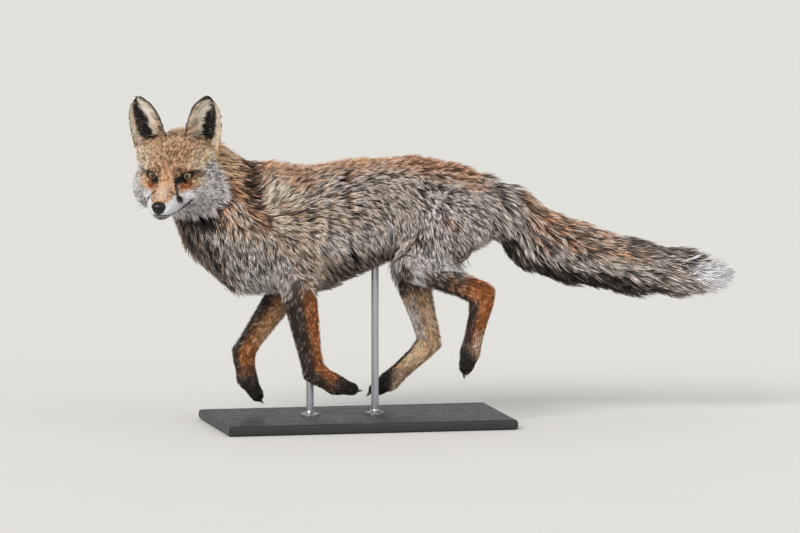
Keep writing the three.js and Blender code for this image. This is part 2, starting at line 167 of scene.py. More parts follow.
soft_sun("key lamp", 2.1, 28, 30, 36, (1.0, 0.97, 0.93))
soft_sun("fill lamp", 0.45, 60, -55, 30, (0.93, 0.96, 1.0))
bpy.context.scene.view_settings.view_transform = "Standard"

# %% [markdown]
# ## How materials are written here
#
# Every finish is a small tree of nodes. Two little classes keep it readable: `Paint` holds a material and
# adds nodes to it, and `Value` wraps one output so that ordinary arithmetic on it adds the Math nodes.
# Colours are written as they look on a screen and are turned into the light values that Blender mixes.


# %% Colours and the two classes
def light(*colour):
    """A colour written as seen on a screen, 0 to 1, as linear light."""
    seen = np.array(colour, dtype=float)
    return np.where(seen <= 0.04045, seen / 12.92, ((seen + 0.055) / 1.055) ** 2.4)


def rgba(colour):
    return (*light(*colour), 1.0)


class Value:
    """One output of a node. Arithmetic on it adds Math nodes."""

    def __init__(self, paint, socket):
        self.paint = paint
        self.socket = socket

    def math(self, operation, *values):
        return self.paint.add("ShaderNodeMath", {"operation": operation}, *values)

    def __add__(self, other):
        return self.math("ADD", self, other)

    def __mul__(self, other):
        return self.math("MULTIPLY", self, other)

    def __truediv__(self, other):
        return self.math("DIVIDE", self, other)

    def __rtruediv__(self, other):
        return self.math("DIVIDE", other, self)

    __radd__ = __add__
    __rmul__ = __mul__


class Paint:
    """A material, its node tree and its shader."""

    def __init__(self, name, **constants):
        self.material = bpy.data.materials.new(name)
        self.material.use_nodes = True
        self.nodes = self.material.node_tree.nodes
        self.links = self.material.node_tree.links
        self.shader = self.nodes["Principled BSDF"]
        self.wear(**constants)

    def plug(self, socket, value):
        if isinstance(value, Value):
            self.links.new(value.socket, socket)
        else:
            socket.default_value = value

    def add(self, kind, settings=None, *values, output=0, **named):
        """A node: its settings first, then values for its first sockets, then others by name."""
        node = self.nodes.new(kind)
        for setting, value in (settings or {}).items():
            setattr(node, setting, value)
        for socket, value in zip(node.inputs, values):
            self.plug(socket, value)
        for name, value in named.items():
            self.plug(node.inputs[name.replace("_", " ")], value)
        return Value(self, node.outputs[output])

    def place(self):
        """The surface's own coordinates, in metres."""
        return self.add("ShaderNodeTexCoord", output="Object")

    def noise(self, size, detail=3.0):
        """Smooth noise, 0 to 1, with blobs about `size` metres wide."""
        return self.add("ShaderNodeTexNoise", None, Vector=self.place(), Scale=1 / size, Detail=detail)

    def ramp(self, value, low, high, start=0.0, end=1.0):
        """`start` below `low`, `end` above `high`, and a soft step between."""
        settings = {"interpolation_type": "SMOOTHSTEP"}
        return self.add("ShaderNodeMapRange", settings, value, low, high, start, end)

    def mix(self, factor, first, second, blend="MIX"):
        """Mixes two colours; on a Mix node these are the sockets 6 and 7, and the output 2."""
        node = self.nodes.new("ShaderNodeMix")
        node.data_type = "RGBA"
        node.blend_type = blend
        for number, value in ((0, factor), (6, first), (7, second)):
            self.plug(node.inputs[number], value)
        return Value(self, node.outputs[2])

    def attribute(self, name, output="Color"):
        return self.add("ShaderNodeAttribute", {"attribute_name": name}, output=output)

    def bump(self, height, distance, strength):
        return self.add("ShaderNodeBump", None, Height=height, Distance=distance, Strength=strength)

    def wear(self, **sockets):
        """Plugs values or links into the shader's own sockets; a _ stands for a space."""
        for socket, value in sockets.items():
            self.plug(self.shader.inputs[socket.replace("_", " ")], value)


def dress(piece, paint):
    """Gives a piece one material, in every slot that it has."""
    if not piece.data.materials:
        piece.data.materials.append(paint.material)
    for number in range(len(piece.data.materials)):
        piece.material_slots[number].material = paint.material


# %% The studio floor
studio = Paint("studio floor", Roughness=0.85, Specular_IOR_Level=0.1)
patchy = studio.noise(0.5, 2.0)
studio.wear(Base_Color=studio.mix(patchy * 0.2, rgba((0.86, 0.85, 0.83)), rgba((0.83, 0.82, 0.80))))
bpy.ops.mesh.primitive_plane_add(size=80, location=(0, 0, -0.0005))
floor = bpy.context.object
floor.name = "studio_floor"
bpy.ops.object.transform_apply(location=True)
dress(floor, studio)
print("floor laid")

# %% [markdown]
# ## One skin from many solids
#
# The solids of flesh meet like the parts of a puzzle. To become one skin they are copied, welded, swollen
# by less than a millimetre so that neighbours overlap, joined, and rebuilt by the Remesh modifier in voxel
# mode, which keeps only the outer surface. The eyes go in too, so that the sockets close over them. Small
# voxels keep the ears and the muzzle crisp; Decimate then thins the mesh again where only fur will show.

# %% Copying, welding and joining
EARS = ["ear_left", "ear_right"]
FACE = ["head", "lower_jaw"]
TRUNK = ["neck", "chest", "belly", "rump"]
TAIL = ["tail_base", "tail_middle", "tail_tip"]
SIDES = ["left", "right"]
FORELEG = ["upper", "forearm", "paw"]
HINDLEG = ["thigh", "shank", "metatarsus", "paw"]
LEG_PARTS = [f"foreleg_{side}_{part}" for side in SIDES for part in FORELEG]
LEG_PARTS += [f"hindleg_{side}_{part}" for side in SIDES for part in HINDLEG]
FLESH = FACE + EARS + TRUNK + TAIL + LEG_PARTS
WELD = 0.00002  # corners nearer than this are one corner
SWELL = 0.0007
VOXEL = 0.0018


def pick(*objects):
    bpy.ops.object.select_all(action="DESELECT")
    for chosen in objects:
        chosen.select_set(True)
    bpy.context.view_layer.objects.active = objects[0]


def apply(piece, kind, **settings):
    """Adds one modifier to a piece and applies it."""
    pick(piece)
    modifier = piece.modifiers.new(kind.lower(), kind)
    for name, value in settings.items():
        setattr(modifier, name, value)
    bpy.ops.object.modifier_apply(modifier=modifier.name)


def copied(node, swell):
    """A welded copy of a solid, a little larger."""
    piece = bpy.data.objects.new(node + "_copy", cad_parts[node].data.copy())
    bpy.context.scene.collection.objects.link(piece)
    pick(piece)
    bpy.ops.object.mode_set(mode="EDIT")
    bpy.ops.mesh.select_all(action="SELECT")
    bpy.ops.mesh.remove_doubles(threshold=WELD)
    bpy.ops.object.mode_set(mode="OBJECT")
    apply(piece, "DISPLACE", strength=swell, mid_level=0)
    return piece


copies = [copied(node, SWELL) for node in FLESH + ["eye_left", "eye_right"]]
pick(*copies)
bpy.ops.object.join()
skin = bpy.context.object
skin.name = skin.data.name = "skin"
skin.data.materials.clear()
apply(skin, "REMESH", mode="VOXEL", voxel_size=VOXEL, use_smooth_shade=True)
print("skin after the remesh:", len(skin.data.vertices), "points")

# %% [markdown]
# ## Meshes as arrays
#
# A brush in sculpt mode moves many points at once, each by a little rule: towards its neighbours, along its
# normal, away from a centre. The same rules are written here on whole arrays of points. That makes every
# stroke exact and repeatable, and fast enough for a quarter of a million points.


# %% Reading and writing a mesh
def read(items, name, width, kind=np.float32):
    """One value of many items, such as the places of a mesh's points, as rows of `width` numbers."""
    flat = np.empty(len(items) * width, dtype=kind)
    items.foreach_get(name, flat)
    return flat.reshape(-1, width)


def write(items, name, values, kind=np.float32):
    items.foreach_set(name, values.astype(kind).ravel())


def points_of(mesh):
    return read(mesh.vertices, "co", 3).astype(float)


def normals_of(mesh):
    return read(mesh.vertex_normals, "vector", 3).astype(float)


def edges_of(mesh):
    return read(mesh.edges, "vertices", 2, np.int32)


def move_points(mesh, points):
    write(mesh.vertices, "co", points)
    mesh.update()


print("normals of the skin:", normals_of(skin.data).shape, "edges:", edges_of(skin.data).shape)


# %% Smoothing and soft steps
def neighbours_mean(values, edges):
    """For each point, the mean of its neighbours' values."""
    starts, ends = edges.T
    count = np.bincount(edges.ravel(), minlength=len(values))
    columns = values.reshape(len(values), -1)
    total = np.empty_like(columns)
    for number in range(columns.shape[1]):
        column = columns[:, number]
        total[:, number] = np.bincount(starts, column[ends], len(values))
        total[:, number] += np.bincount(ends, column[starts], len(values))
    return (total / np.maximum(count, 1)[:, None]).reshape(values.shape)


def averaged(values, edges, times):
    """Values spread over the mesh: each step is half way to the neighbours' mean."""
    for _ in range(times):
        values = 0.5 * values + 0.5 * neighbours_mean(values, edges)
    return values


def calmed(points, edges, times, share):
    """Moves points towards the middle of their neighbours, each by its share of half the way."""
    for _ in range(times):
        points = points + 0.5 * share * (neighbours_mean(points, edges) - points)
    return points


def relaxed(points, edges, times, share):
    """Smooths without shrinking: each step in is followed by a slightly longer step out."""
    share = np.asarray(share, dtype=float).reshape(-1, 1)
    for _ in range(times):
        for step in (0.5, -0.52):
            points = points + step * share * (neighbours_mean(points, edges) - points)
    return points


def soft_step(low, high, value):
    """0 below `low`, 1 above `high`, and a smooth rise between; it also falls if low is above high."""
    t = np.clip((value - low) / (high - low), 0, 1)
    return t * t * (3 - 2 * t)


def unit(vectors):
    """The same directions, one long."""
    return vectors / np.maximum(np.linalg.norm(vectors, axis=-1, keepdims=True), 1e-12)


# %% Which solid each point of the skin came from
def solid_finder(nodes):
    """A function that gives, for points, the number of the nearest of these solids."""
    places, faces, owner = [], [], []
    for number, node in enumerate(nodes):
        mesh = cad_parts[node].data
        faces += [[len(places) + i for i in face.vertices] for face in mesh.polygons]
        owner += [number] * len(mesh.polygons)
        places += [tuple(vertex.co) for vertex in mesh.vertices]
    tree = BVHTree.FromPolygons(places, faces)

    def nearest(points):
        return np.array([owner[tree.find_nearest(point)[2]] for point in points])

    return nearest


def is_one_of(solid, *words):
    """For points with these solids' numbers: does the solid's name hold one of the words?"""
    return np.isin(solid, [n for n, node in enumerate(FLESH) if any(word in node for word in words)])


nearest_solid = solid_finder(FLESH)
came_from = nearest_solid(points_of(skin.data))
print({node: int((came_from == number).sum()) for number, node in enumerate(FLESH)})

# %% [markdown]
# ## Smooth forms
#
# The solids are faceted, so the skin is relaxed: each point moves towards the middle of its neighbours and
# then a little back out, which flattens facets without shrinking the body. The face and the thin ears get
# only a touch of it. A hock or a wrist is round, so the sharp bends of the limbs are calmed away as well.

# %% Relaxing
LEG_LINES = {  # each leg's bones from the body down, in the fox's frame: back, across, up
    "foreleg_left": ((-128, -50, 240), (-102, -43, 92), (-66, -40, 70), (-30, -38, 60)),
    "foreleg_right": ((-118, 48, 240), (-199, 38, 118), (-194, 35, 75), (-176, 34, 42)),
    "hindleg_left": ((58, -50, 262), (177, -43, 209), (155, -42, 118), (148, -42, 82)),
    "hindleg_right": ((73, 49, 250), (108, 41, 124), (41, 37, 65), (8, 36, 48)),
}
BEND_REACH = 30  # from the middle of a hock or wrist

is_ear = is_one_of(came_from, "ear_")
is_face = is_one_of(came_from, *FACE)
is_paw = is_one_of(came_from, "paw")
edges = edges_of(skin.data)
stiffness = averaged(np.where(is_ear, 0.25, np.where(is_face | is_paw, 0.5, 1.0)), edges, 8)
skin_points = relaxed(points_of(skin.data), edges, 24, stiffness)
skin_fox = to_fox(skin_points)
bends = [np.array(joints[1]) for joints in LEG_LINES.values()]
to_bend = np.min([np.linalg.norm(skin_fox - bend, axis=1) for bend in bends], axis=0)
skin_points = calmed(skin_points, edges, 16, soft_step(BEND_REACH, 12, to_bend)[:, None])
move_points(skin.data, skin_points)
print("skin relaxed;", int((to_bend < BEND_REACH).sum()), "points at hocks and wrists")

# %% [markdown]
# ## Making room for the coat
#
# The solids reach to the tips of the hair, so the skin has to lie deeper: hardly at all on the face, ears
# and feet, where the hair is short and flat, and two centimetres down on the neck and the brush. One long
# push along the normals would tangle the mesh where it bends. Several short ones along calm normals, which
# are averaged over their neighbourhood, do not.

# %% The coat's depth
COAT_DEPTH = {
    "head": 1.7,
    "lower_jaw": 1.4,
    "ear_": 0.8,
    "neck": 17,
    "chest": 14,
    "belly": 13,
    "rump": 13,
    "tail_base": 15,
    "tail_middle": 19,
    "tail_tip": 20,
    "upper": 7,
    "forearm": 2.6,
    "paw": 1.2,
    "thigh": 11,
    "shank": 3.2,
    "metatarsus": 1.6,
}
RUFF, NAPE = 7, 6  # how much deeper it is on the cheeks and behind the ears
SHORT_PUSHES = 4


def depth_of(node):
    """The coat's depth over one solid, by the part of its name that the table has."""
    return next(depth for part, depth in COAT_DEPTH.items() if part in node)


solid_depth = np.array([depth_of(node) for node in FLESH], dtype=float)
place = to_head(skin_points)
ruff = RUFF * soft_step(-22, -55, place[:, 0]) * soft_step(22, 45, np.abs(place[:, 1]))
ruff *= soft_step(25, 0, place[:, 2])
nape = NAPE * soft_step(-45, -75, place[:, 0]) * soft_step(10, 40, place[:, 2])
depth = solid_depth[came_from] + np.where(is_face, ruff + nape, 0)
depth = averaged(depth, edges, 90)

loose = soft_step(2, 7, depth)[:, None]
for _ in range(SHORT_PUSHES):
    normals = normals_of(skin.data)
    calm = unit(averaged(normals, edges, 40))
    push = unit(normals * (1 - loose) + calm * loose)
    skin_points = calmed(skin_points - push * depth[:, None] * MM / SHORT_PUSHES, edges, 6, loose)
    move_points(skin.data, skin_points)
write(skin.data.attributes.new("coat depth", "FLOAT", "POINT").data, "value", depth)
print("coat depth from", depth.min().round(1), "to", depth.max().round(1))

# %% [markdown]
# ## Fine mesh only where it shows
#
# Under long fur nobody sees the skin's mesh, so Decimate thins it there. A vertex group tells it where:
# fully on the body, not at all on the face and the ears, and in ten steps between.

# %% Thinning the body's mesh
BODY_KEPT = 0.31  # share of the body's triangles that stay
body_group = skin.vertex_groups.new(name="thin here")
spare = averaged((is_ear | is_face).astype(float), edges, 6)
for level in range(1, 11):
    chosen = np.flatnonzero(np.ceil((1 - spare) * 10) == level)
    body_group.add(chosen.tolist(), level / 10, "REPLACE")
apply(skin, "DECIMATE", ratio=BODY_KEPT, vertex_group=body_group.name, vertex_group_factor=10.0)
skin.vertex_groups.clear()
print("skin after thinning:", len(skin.data.polygons), "faces")

# %% [markdown]
# ## Eyelids, lips and nostrils
#
# The head's own shape came from the solids. What makes it a face is finer: lids that hug the eyeball and
# leave an almond open, a dark line for the mouth, a groove under the nose. The mesh round the eyes is
# subdivided first. Then every point there is pushed along its ray from the eye's centre: behind the ball
# inside the almond, just over the ball on the lids, and less and less further out. For each eye the almond
# is drawn on the ball itself, with its outer corner raised.

# %% Finer mesh round the eyes
EYE_RADIUS = 9.6
EYE_TURN = math.radians(3)  # outwards
EYE_SLANT = math.radians(21)  # the outer corner's rise
EYE_RISE = 2.6  # above the solid eye
OPEN_WIDE, OPEN_ABOVE, OPEN_BELOW = 9.2, 4.3, 4.9  # half sizes of the almond
ALMOND = 1.7  # its roundness, between a diamond (1) and an oval (2)
OFF_THE_BALL = 9.0  # the measure of what lies behind the eye
SIGN = {"left": 1, "right": -1}


def eye_frame(side):
    """The eye's centre and its axes (out of the head, to the outer corner, up) in the head's frame."""
    sign = SIGN[side]
    out = np.array((math.cos(EYE_TURN), sign * math.sin(EYE_TURN), 0))
    across = np.array((-sign * math.sin(EYE_TURN), math.cos(EYE_TURN), 0))
    raised = np.array((0, 0, 1))
    corner = sign * across * math.cos(EYE_SLANT) + raised * math.sin(EYE_SLANT)
    above = raised * math.cos(EYE_SLANT) - sign * across * math.sin(EYE_SLANT)
    centre = np.array((EYES_AT[0], sign * EYES_AT[1], EYES_AT[2] + EYE_RISE))
    return centre, np.array((out, corner, above))


def on_eye(points, side):
    """Points seen from an eye: distance, place across and up the ball, and the almond's measure."""
    centre, axes = eye_frame(side)
    ray = (to_head(points) - centre) @ axes.T
    distance = np.linalg.norm(ray, axis=1)
    seen = unit(ray) * EYE_RADIUS
    height = np.where(seen[:, 2] > 0, OPEN_ABOVE, OPEN_BELOW)
    measure = np.abs(seen[:, 1] / OPEN_WIDE) ** ALMOND + np.abs(seen[:, 2] / height) ** ALMOND
    return distance, seen, np.where(ray[:, 0] > 0, measure ** (1 / ALMOND), OFF_THE_BALL)


def refine(reach):
    """Subdivides the skin's faces that `reach` picks by the place of their middles."""
    pick(skin)
    bpy.ops.object.mode_set(mode="EDIT")
    bpy.ops.mesh.select_all(action="DESELECT")
    bpy.ops.object.mode_set(mode="OBJECT")
    faces = skin.data.polygons
    faces.foreach_set("select", reach(read(faces, "center", 3).astype(float)))
    bpy.ops.object.mode_set(mode="EDIT")
    bpy.ops.mesh.select_mode(type="FACE")
    bpy.ops.mesh.subdivide()
    bpy.ops.object.mode_set(mode="OBJECT")


def near_eye(far, most):
    """A test for points near either eye, by distance and by the almond's measure."""

    def reach(points):
        seen_from = [on_eye(points, side) for side in SIDES]
        return np.any([(distance < far) & (measure < most) for distance, _, measure in seen_from], axis=0)

    return reach


refine(near_eye(24, 2.6))
refine(near_eye(16, 1.45))
print("skin with fine lids:", len(skin.data.polygons), "faces")

# %% Finer mesh along the lips
MOUTH = ((12, -35), (28, -40.5), (48, -43), (66, -41.5), (80, -38))  # the lips' line: forwards and up


def mouth_height(forward):
    return np.interp(forward, *zip(*MOUTH))


def near_mouth(points):
    place = to_head(points)
    return (place[:, 0] > MOUTH[0][0]) & (np.abs(place[:, 2] - mouth_height(place[:, 0])) < 5)


refine(near_mouth)
print("skin with fine lids and lips:", len(skin.data.polygons), "faces")

# %% Sculpting the lids and the mouth
LID = 1.0  # the lids' thickness over the ball
BEHIND = 1.3  # how far the skin inside the almond lies behind the ball's surface
CREASE = 0.7  # the groove over the upper lid
LIPS_DEEP, CLEFT_DEEP = 1.5, 1.0  # the line between the lips, and the groove under the nose

skin_points = points_of(skin.data)
for side in SIDES:
    distance, seen, measure = on_eye(skin_points, side)
    edge = soft_step(0.88, 1.02, measure)
    crease = CREASE * np.exp(-(((measure - 1.55) / 0.16) ** 2)) * (seen[:, 2] > 0)
    lid = EYE_RADIUS - BEHIND + (BEHIND + LID) * edge + 0.5 * soft_step(1.0, 1.3, measure) - crease
    blend = np.maximum(soft_step(1.25, 2.2, measure), soft_step(15, 21, distance))
    goal = lid * (1 - blend) + distance * blend
    goal = np.where((measure < 2.2) & (distance < 30), goal, distance)
    centre = from_head(*eye_frame(side)[0])
    skin_points = centre + (skin_points - centre) * (goal / distance)[:, None]
move_points(skin.data, skin_points)

place = to_head(skin_points)
off_line = place[:, 2] - mouth_height(place[:, 0])
in_mouth = np.exp(-((off_line / 1.1) ** 2)) * soft_step(10, 18, place[:, 0])
cleft = np.exp(-((place[:, 1] / 0.9) ** 2)) * soft_step(60, 68, place[:, 0])
cleft *= soft_step(-44, -40, place[:, 2]) * soft_step(-30, -34, place[:, 2])
inwards = -normals_of(skin.data)
skin_points = skin_points + inwards * (LIPS_DEEP * in_mouth + CLEFT_DEEP * cleft)[:, None] * MM
move_points(skin.data, skin_points)
print("right eye's lids:", (distance < 12).sum(), "points; mouth:", int((in_mouth > 0.3).sum()), "points")

# %% Hollow ears
EAR_LINES = {"left": ((40, 22), (61, 121)), "right": ((-37, 22), (-52, 118))}  # foot and tip: left, up
EAR_HALF_WIDTH = 31.5
EAR_HOLLOW = 2.6


def on_ear(points, side):
    """Height from foot (0) to tip (1), and place from the inner edge (-1) to the outer edge (1)."""
    (foot_left, foot_up), (tip_left, tip_up) = EAR_LINES[side]
    place = to_head(points)
    height = (place[:, 2] - foot_up) / (tip_up - foot_up)
    t = np.clip(height, 0, 0.995)
    half_width = EAR_HALF_WIDTH * np.sqrt(1 - t**2.6) * (0.94 + 0.18 * t)
    across = (place[:, 1] - foot_left - height * (tip_left - foot_left)) / half_width
    return height, across * SIGN[side]


skin_points, skin_normals = points_of(skin.data), normals_of(skin.data)
in_front = soft_step(0.2, 0.6, skin_normals @ HEAD_AXES[0])
for side in SIDES:
    height, across = on_ear(skin_points, side)
    bowl = 1 - np.clip(np.abs(across - 0.1) / 0.85, 0, 1) ** 2
    bowl = bowl * soft_step(0.02, 0.2, height) * soft_step(1.0, 0.7, height)
    beside = soft_step(0, 12, to_head(skin_points)[:, 1] * SIGN[side])
    skin_points = skin_points - (EAR_HOLLOW * MM * bowl * in_front * beside)[:, None] * HEAD_AXES[0]
move_points(skin.data, skin_points)
print("ears hollowed by up to", EAR_HOLLOW)

# %% [markdown]
# ## Unwrapping the skin
#
# A flat map of the skin is needed so that colours can be painted or baked onto it. Smart UV Project cuts
# the skin wherever it turns sharply and lays the pieces side by side. The coat borrows this map: every tuft
# sits on it as a tiny patch at the place of its root.

# %% The map of the skin
MAP = "OFBake"
pick(skin)
skin.data.uv_layers.new(name=MAP)
bpy.ops.object.mode_set(mode="EDIT")
bpy.ops.mesh.select_all(action="SELECT")
bpy.ops.uv.smart_project(angle_limit=math.radians(75), island_margin=0.001)
bpy.ops.object.mode_set(mode="OBJECT")
bpy.ops.object.shade_smooth()
print("skin unwrapped:", len(skin.data.uv_layers[MAP].data), "corners")

# %% [markdown]
# ## The markings
#
# A red fox is not simply red. Each hair has bands: a smoky root, a coloured middle and a paler tip, and the
# mix changes from place to place: rust along the back, straw on the shoulder, frosted grey on the flanks
# and thighs, charcoal on throat, belly and the fronts of the legs, white on lips, cheeks and the brush's
# tip. Under the head the throat's charcoal also stands for painted shade, and so do the dark spots over the
# eyes' inner corners, on the chin and in the ears' hollows. A tone is written as three colours, from root
# to tip, and a number: how much one hair differs from the next. One function paints the tones in layers,
# broad ones first, and both the skin and the coat ask it for their colours, so they always agree.

# %% Tones, from root to tip
TONES = {
    "frost": ((0.22, 0.155, 0.12), (0.48, 0.385, 0.315), (1.0, 0.94, 0.88), 1.2),
    "rust": ((0.42, 0.25, 0.16), (0.78, 0.53, 0.35), (1.0, 0.84, 0.66), 0.9),
    "straw": ((0.46, 0.37, 0.28), (0.96, 0.86, 0.71), (1.0, 0.96, 0.88), 0.8),
    "tan": ((0.34, 0.26, 0.20), (0.68, 0.57, 0.47), (1.0, 0.94, 0.87), 1.0),
    "gold": ((0.42, 0.29, 0.18), (0.84, 0.65, 0.46), (1.0, 0.88, 0.73), 0.8),
    "umber": ((0.20, 0.13, 0.10), (0.40, 0.26, 0.18), (0.72, 0.56, 0.44), 0.8),
    "charcoal": ((0.11, 0.09, 0.08), (0.18, 0.15, 0.135), (0.52, 0.47, 0.43), 0.9),
    "smoke": ((0.16, 0.13, 0.12), (0.34, 0.30, 0.27), (0.95, 0.91, 0.87), 1.1),
    "ash": ((0.42, 0.37, 0.35), (0.84, 0.79, 0.77), (1.0, 0.99, 0.99), 0.9),
    "white": ((0.95, 0.94, 0.94), (0.98, 0.97, 0.98), (1.0, 1.0, 1.0), 0.1),
    "orange": ((0.32, 0.18, 0.10), (0.62, 0.38, 0.19), (0.86, 0.63, 0.42), 0.9),
    "mask": ((0.50, 0.32, 0.19), (0.88, 0.66, 0.45), (1.0, 0.90, 0.72), 0.9),
    "bridge": ((0.66, 0.51, 0.40), (0.97, 0.80, 0.66), (1.0, 0.92, 0.82), 0.35),
    "ember": ((0.36, 0.19, 0.11), (0.62, 0.35, 0.19), (0.80, 0.54, 0.36), 0.4),
    "black": ((0.05, 0.045, 0.04), (0.07, 0.06, 0.055), (0.13, 0.115, 0.11), 0.2),
    "cream": ((0.60, 0.52, 0.43), (0.93, 0.85, 0.75), (1.0, 0.97, 0.91), 0.4),
}
LIGHT_TONES = {
    name: np.array([*(light(*colour) for colour in bands), (contrast,) * 3])
    for name, (*bands, contrast) in TONES.items()
}
print("tones:", ", ".join(TONES))


# %% A coat that is painted in layers
class Markings:
    """Tones for many points, painted in layers; `mottle` breaks up each layer's edge hair by hair."""

    def __init__(self, points, normals, solid, mottle):
        self.points = points
        self.fox = to_fox(points)
        self.head = to_head(points)
        self.half_head = np.column_stack((self.head[:, 0], np.abs(self.head[:, 1]), self.head[:, 2]))
        self.normal = normals
        self.solid = solid
        self.mottle = mottle
        self.tones = np.tile(LIGHT_TONES["frost"], (len(points), 1, 1))

    def of(self, *words):
        """1 on the solids whose names hold one of these words."""
        return is_one_of(self.solid, *words).astype(float)

    def brush(self, tone, mask):
        """Lays one tone over the others where the mask says."""
        if self.mottle is not None:
            mask = soft_step(0.2, 0.8, mask + 1.3 * (self.mottle - 0.5) * (4 * mask * (1 - mask)))
        self.tones += mask[:, None, None] * (LIGHT_TONES[tone] - self.tones)

    def lay(self, shape, where, rows):
        """Brushes a row of tone, strength and a shape's own numbers over the one before it."""
        for tone, strength, *numbers in rows:
            self.brush(tone, where * shape(*numbers) * strength)

    def oval(self, x, z, wide, high, tilt=0.0, soft=0.55):
        """An oval seen from the side, in the fox's frame; it goes right through the body."""
        turn = math.radians(tilt)
        along, up = self.fox[:, 0] - x, self.fox[:, 2] - z
        u = (along * math.cos(turn) + up * math.sin(turn)) / wide
        v = (up * math.cos(turn) - along * math.sin(turn)) / high
        return soft_step(1 + soft, 1 - soft, np.hypot(u, v))

    def spot(self, middle_point, radii, soft=0.4):
        """An egg in the head's frame, on both sides of the face."""
        off = self.half_head - np.array(middle_point, dtype=float)
        return soft_step(1 + soft, 1 - soft, np.linalg.norm(off / np.array(radii, dtype=float), axis=1))

    def streak(self, start, end, width, soft=0.4):
        """A line in the head's frame, on both sides of the face."""
        start, end = np.array(start, dtype=float), np.array(end, dtype=float)
        along = np.clip((self.half_head - start) @ (end - start) / ((end - start) @ (end - start)), 0, 1)
        far = np.linalg.norm(self.half_head - start - along[:, None] * (end - start), axis=1) / width
        return soft_step(1 + soft, 1 - soft, far)


# %% [markdown]
# ## Body, legs and brush
#
# The body is painted as seen from the side. On the legs the dark part is always the front, whichever way
# the leg is bent, so each leg gets its colour from where a point lies round its bone.

# %% Ovals on the trunk
# Each row has a tone and its strength, then an oval: back, up, half its length and height, tilt, softness.
SIDE_OVALS = (
    ("tan", 1.0, -95, 285, 85, 55, 15),
    ("tan", 0.6, -60, 320, 70, 30, -10),
    ("ash", 0.25, 30, 300, 42, 60),
    ("smoke", 0.5, 34, 288, 18, 28),
    ("straw", 1.0, -165, 375, 38, 44, 25),
    ("cream", 0.85, -168, 372, 32, 36, 25),
    ("umber", 0.85, -205, 348, 40, 14, -38),
    ("umber", 0.35, -150, 350, 45, 16, -12, 0.8),
    ("tan", 0.9, 155, 300, 40, 44),
    ("ash", 0.5, 165, 300, 36, 44),
    ("cream", 0.6, 160, 298, 30, 38),
    ("ash", 1.0, 85, 250, 66, 30),
    ("white", 0.3, 85, 246, 42, 16),
    ("ash", 0.6, 130, 330, 60, 50),
    ("ash", 0.5, -30, 295, 66, 30),
    ("umber", 0.35, 120, 322, 24, 12, -20),
)
WITHERS_OVALS = (
    ("umber", 0.65, -183, 414, 42, 24, 0, 0.7),
    ("rust", 0.8, -127, 398, 34, 18, -10, 0.8),
    ("umber", 0.35, -127, 394, 22, 13, -15),
)
NECK_OVALS = (
    ("umber", 0.7, -226, 342, 24, 36, 10),
    ("umber", 0.85, -235, 376, 20, 24, 10),
    ("smoke", 0.45, -228, 334, 36, 34, 10, 0.7),
)
BREAST_OVALS = (
    ("smoke", 1.0, -215, 255, 95, 42, -38, 0.4),
    ("ash", 0.6, -258, 308, 14, 32, -20),
)
THROAT_OVALS = (
    # the next three rows are the dark throat fur, deepened by painted shade under the head
    ("charcoal", 0.95, -283, 342, 36, 22, -20, 0.7),
    ("black", 0.85, -281, 342, 28, 15, -15),
    ("charcoal", 0.6, -302, 322, 26, 28, -20),
    ("ash", 0.5, -165, 240, 50, 34),
)
SPINE = ((-200, 427), (-100, 434), (50, 440), (120, 427), (170, 400), (200, 375))  # back and up
print("ovals on the side:", len(SIDE_OVALS), "and in front:", len(BREAST_OVALS + THROAT_OVALS))


# %% Painting the trunk and the brush
def paint_trunk(coat):
    x, z = coat.fox[:, 0], coat.fox[:, 2]
    up = coat.normal[:, 2]
    body = coat.of("neck", "chest", "belly", "rump", "upper", "thigh")
    neck = coat.of("neck")
    coat.lay(coat.oval, body, SIDE_OVALS)
    below_spine = np.interp(x, *zip(*SPINE)) - z
    back = soft_step(52, 16, below_spine) * soft_step(-205, -185, x) * soft_step(195, 150, x)
    coat.brush("rust", body * back)
    coat.brush("umber", body * back * coat.oval(100, 415, 60, 20, -12) * 0.5)
    coat.brush("ash", neck * soft_step(395, 360, z) * soft_step(-232, -250, x) * 0.8)
    gold_band = soft_step(-200, -225, x + 0.25 * (z - 380)) * soft_step(-268, -246, x - 0.3 * (z - 350))
    coat.brush("gold", neck * gold_band * soft_step(290, 330, z))
    coat.brush("gold", neck * soft_step(370, 400, z) * soft_step(-208, -224, x))
    coat.lay(coat.oval, body, WITHERS_OVALS)
    coat.lay(coat.oval, coat.of("neck", "chest"), NECK_OVALS)
    stripe = body * coat.oval(-207, 402, 17, 47, 8, 0.9)
    coat.brush("umber", stripe)
    coat.brush("black", stripe * 0.62)
    coat.lay(coat.oval, body, BREAST_OVALS)
    coat.brush("charcoal", body * soft_step(-256, -288, x + 0.75 * (z - 320)) * soft_step(385, 350, z) * 0.85)
    # the dark throat, partly painted shade under the head
    coat.lay(coat.oval, body, THROAT_OVALS)
    underside = soft_step(-0.15, -0.50, up) * soft_step(310, 280, z)
    coat.brush("charcoal", body * underside * soft_step(-110, -70, x) * soft_step(75, 35, x))


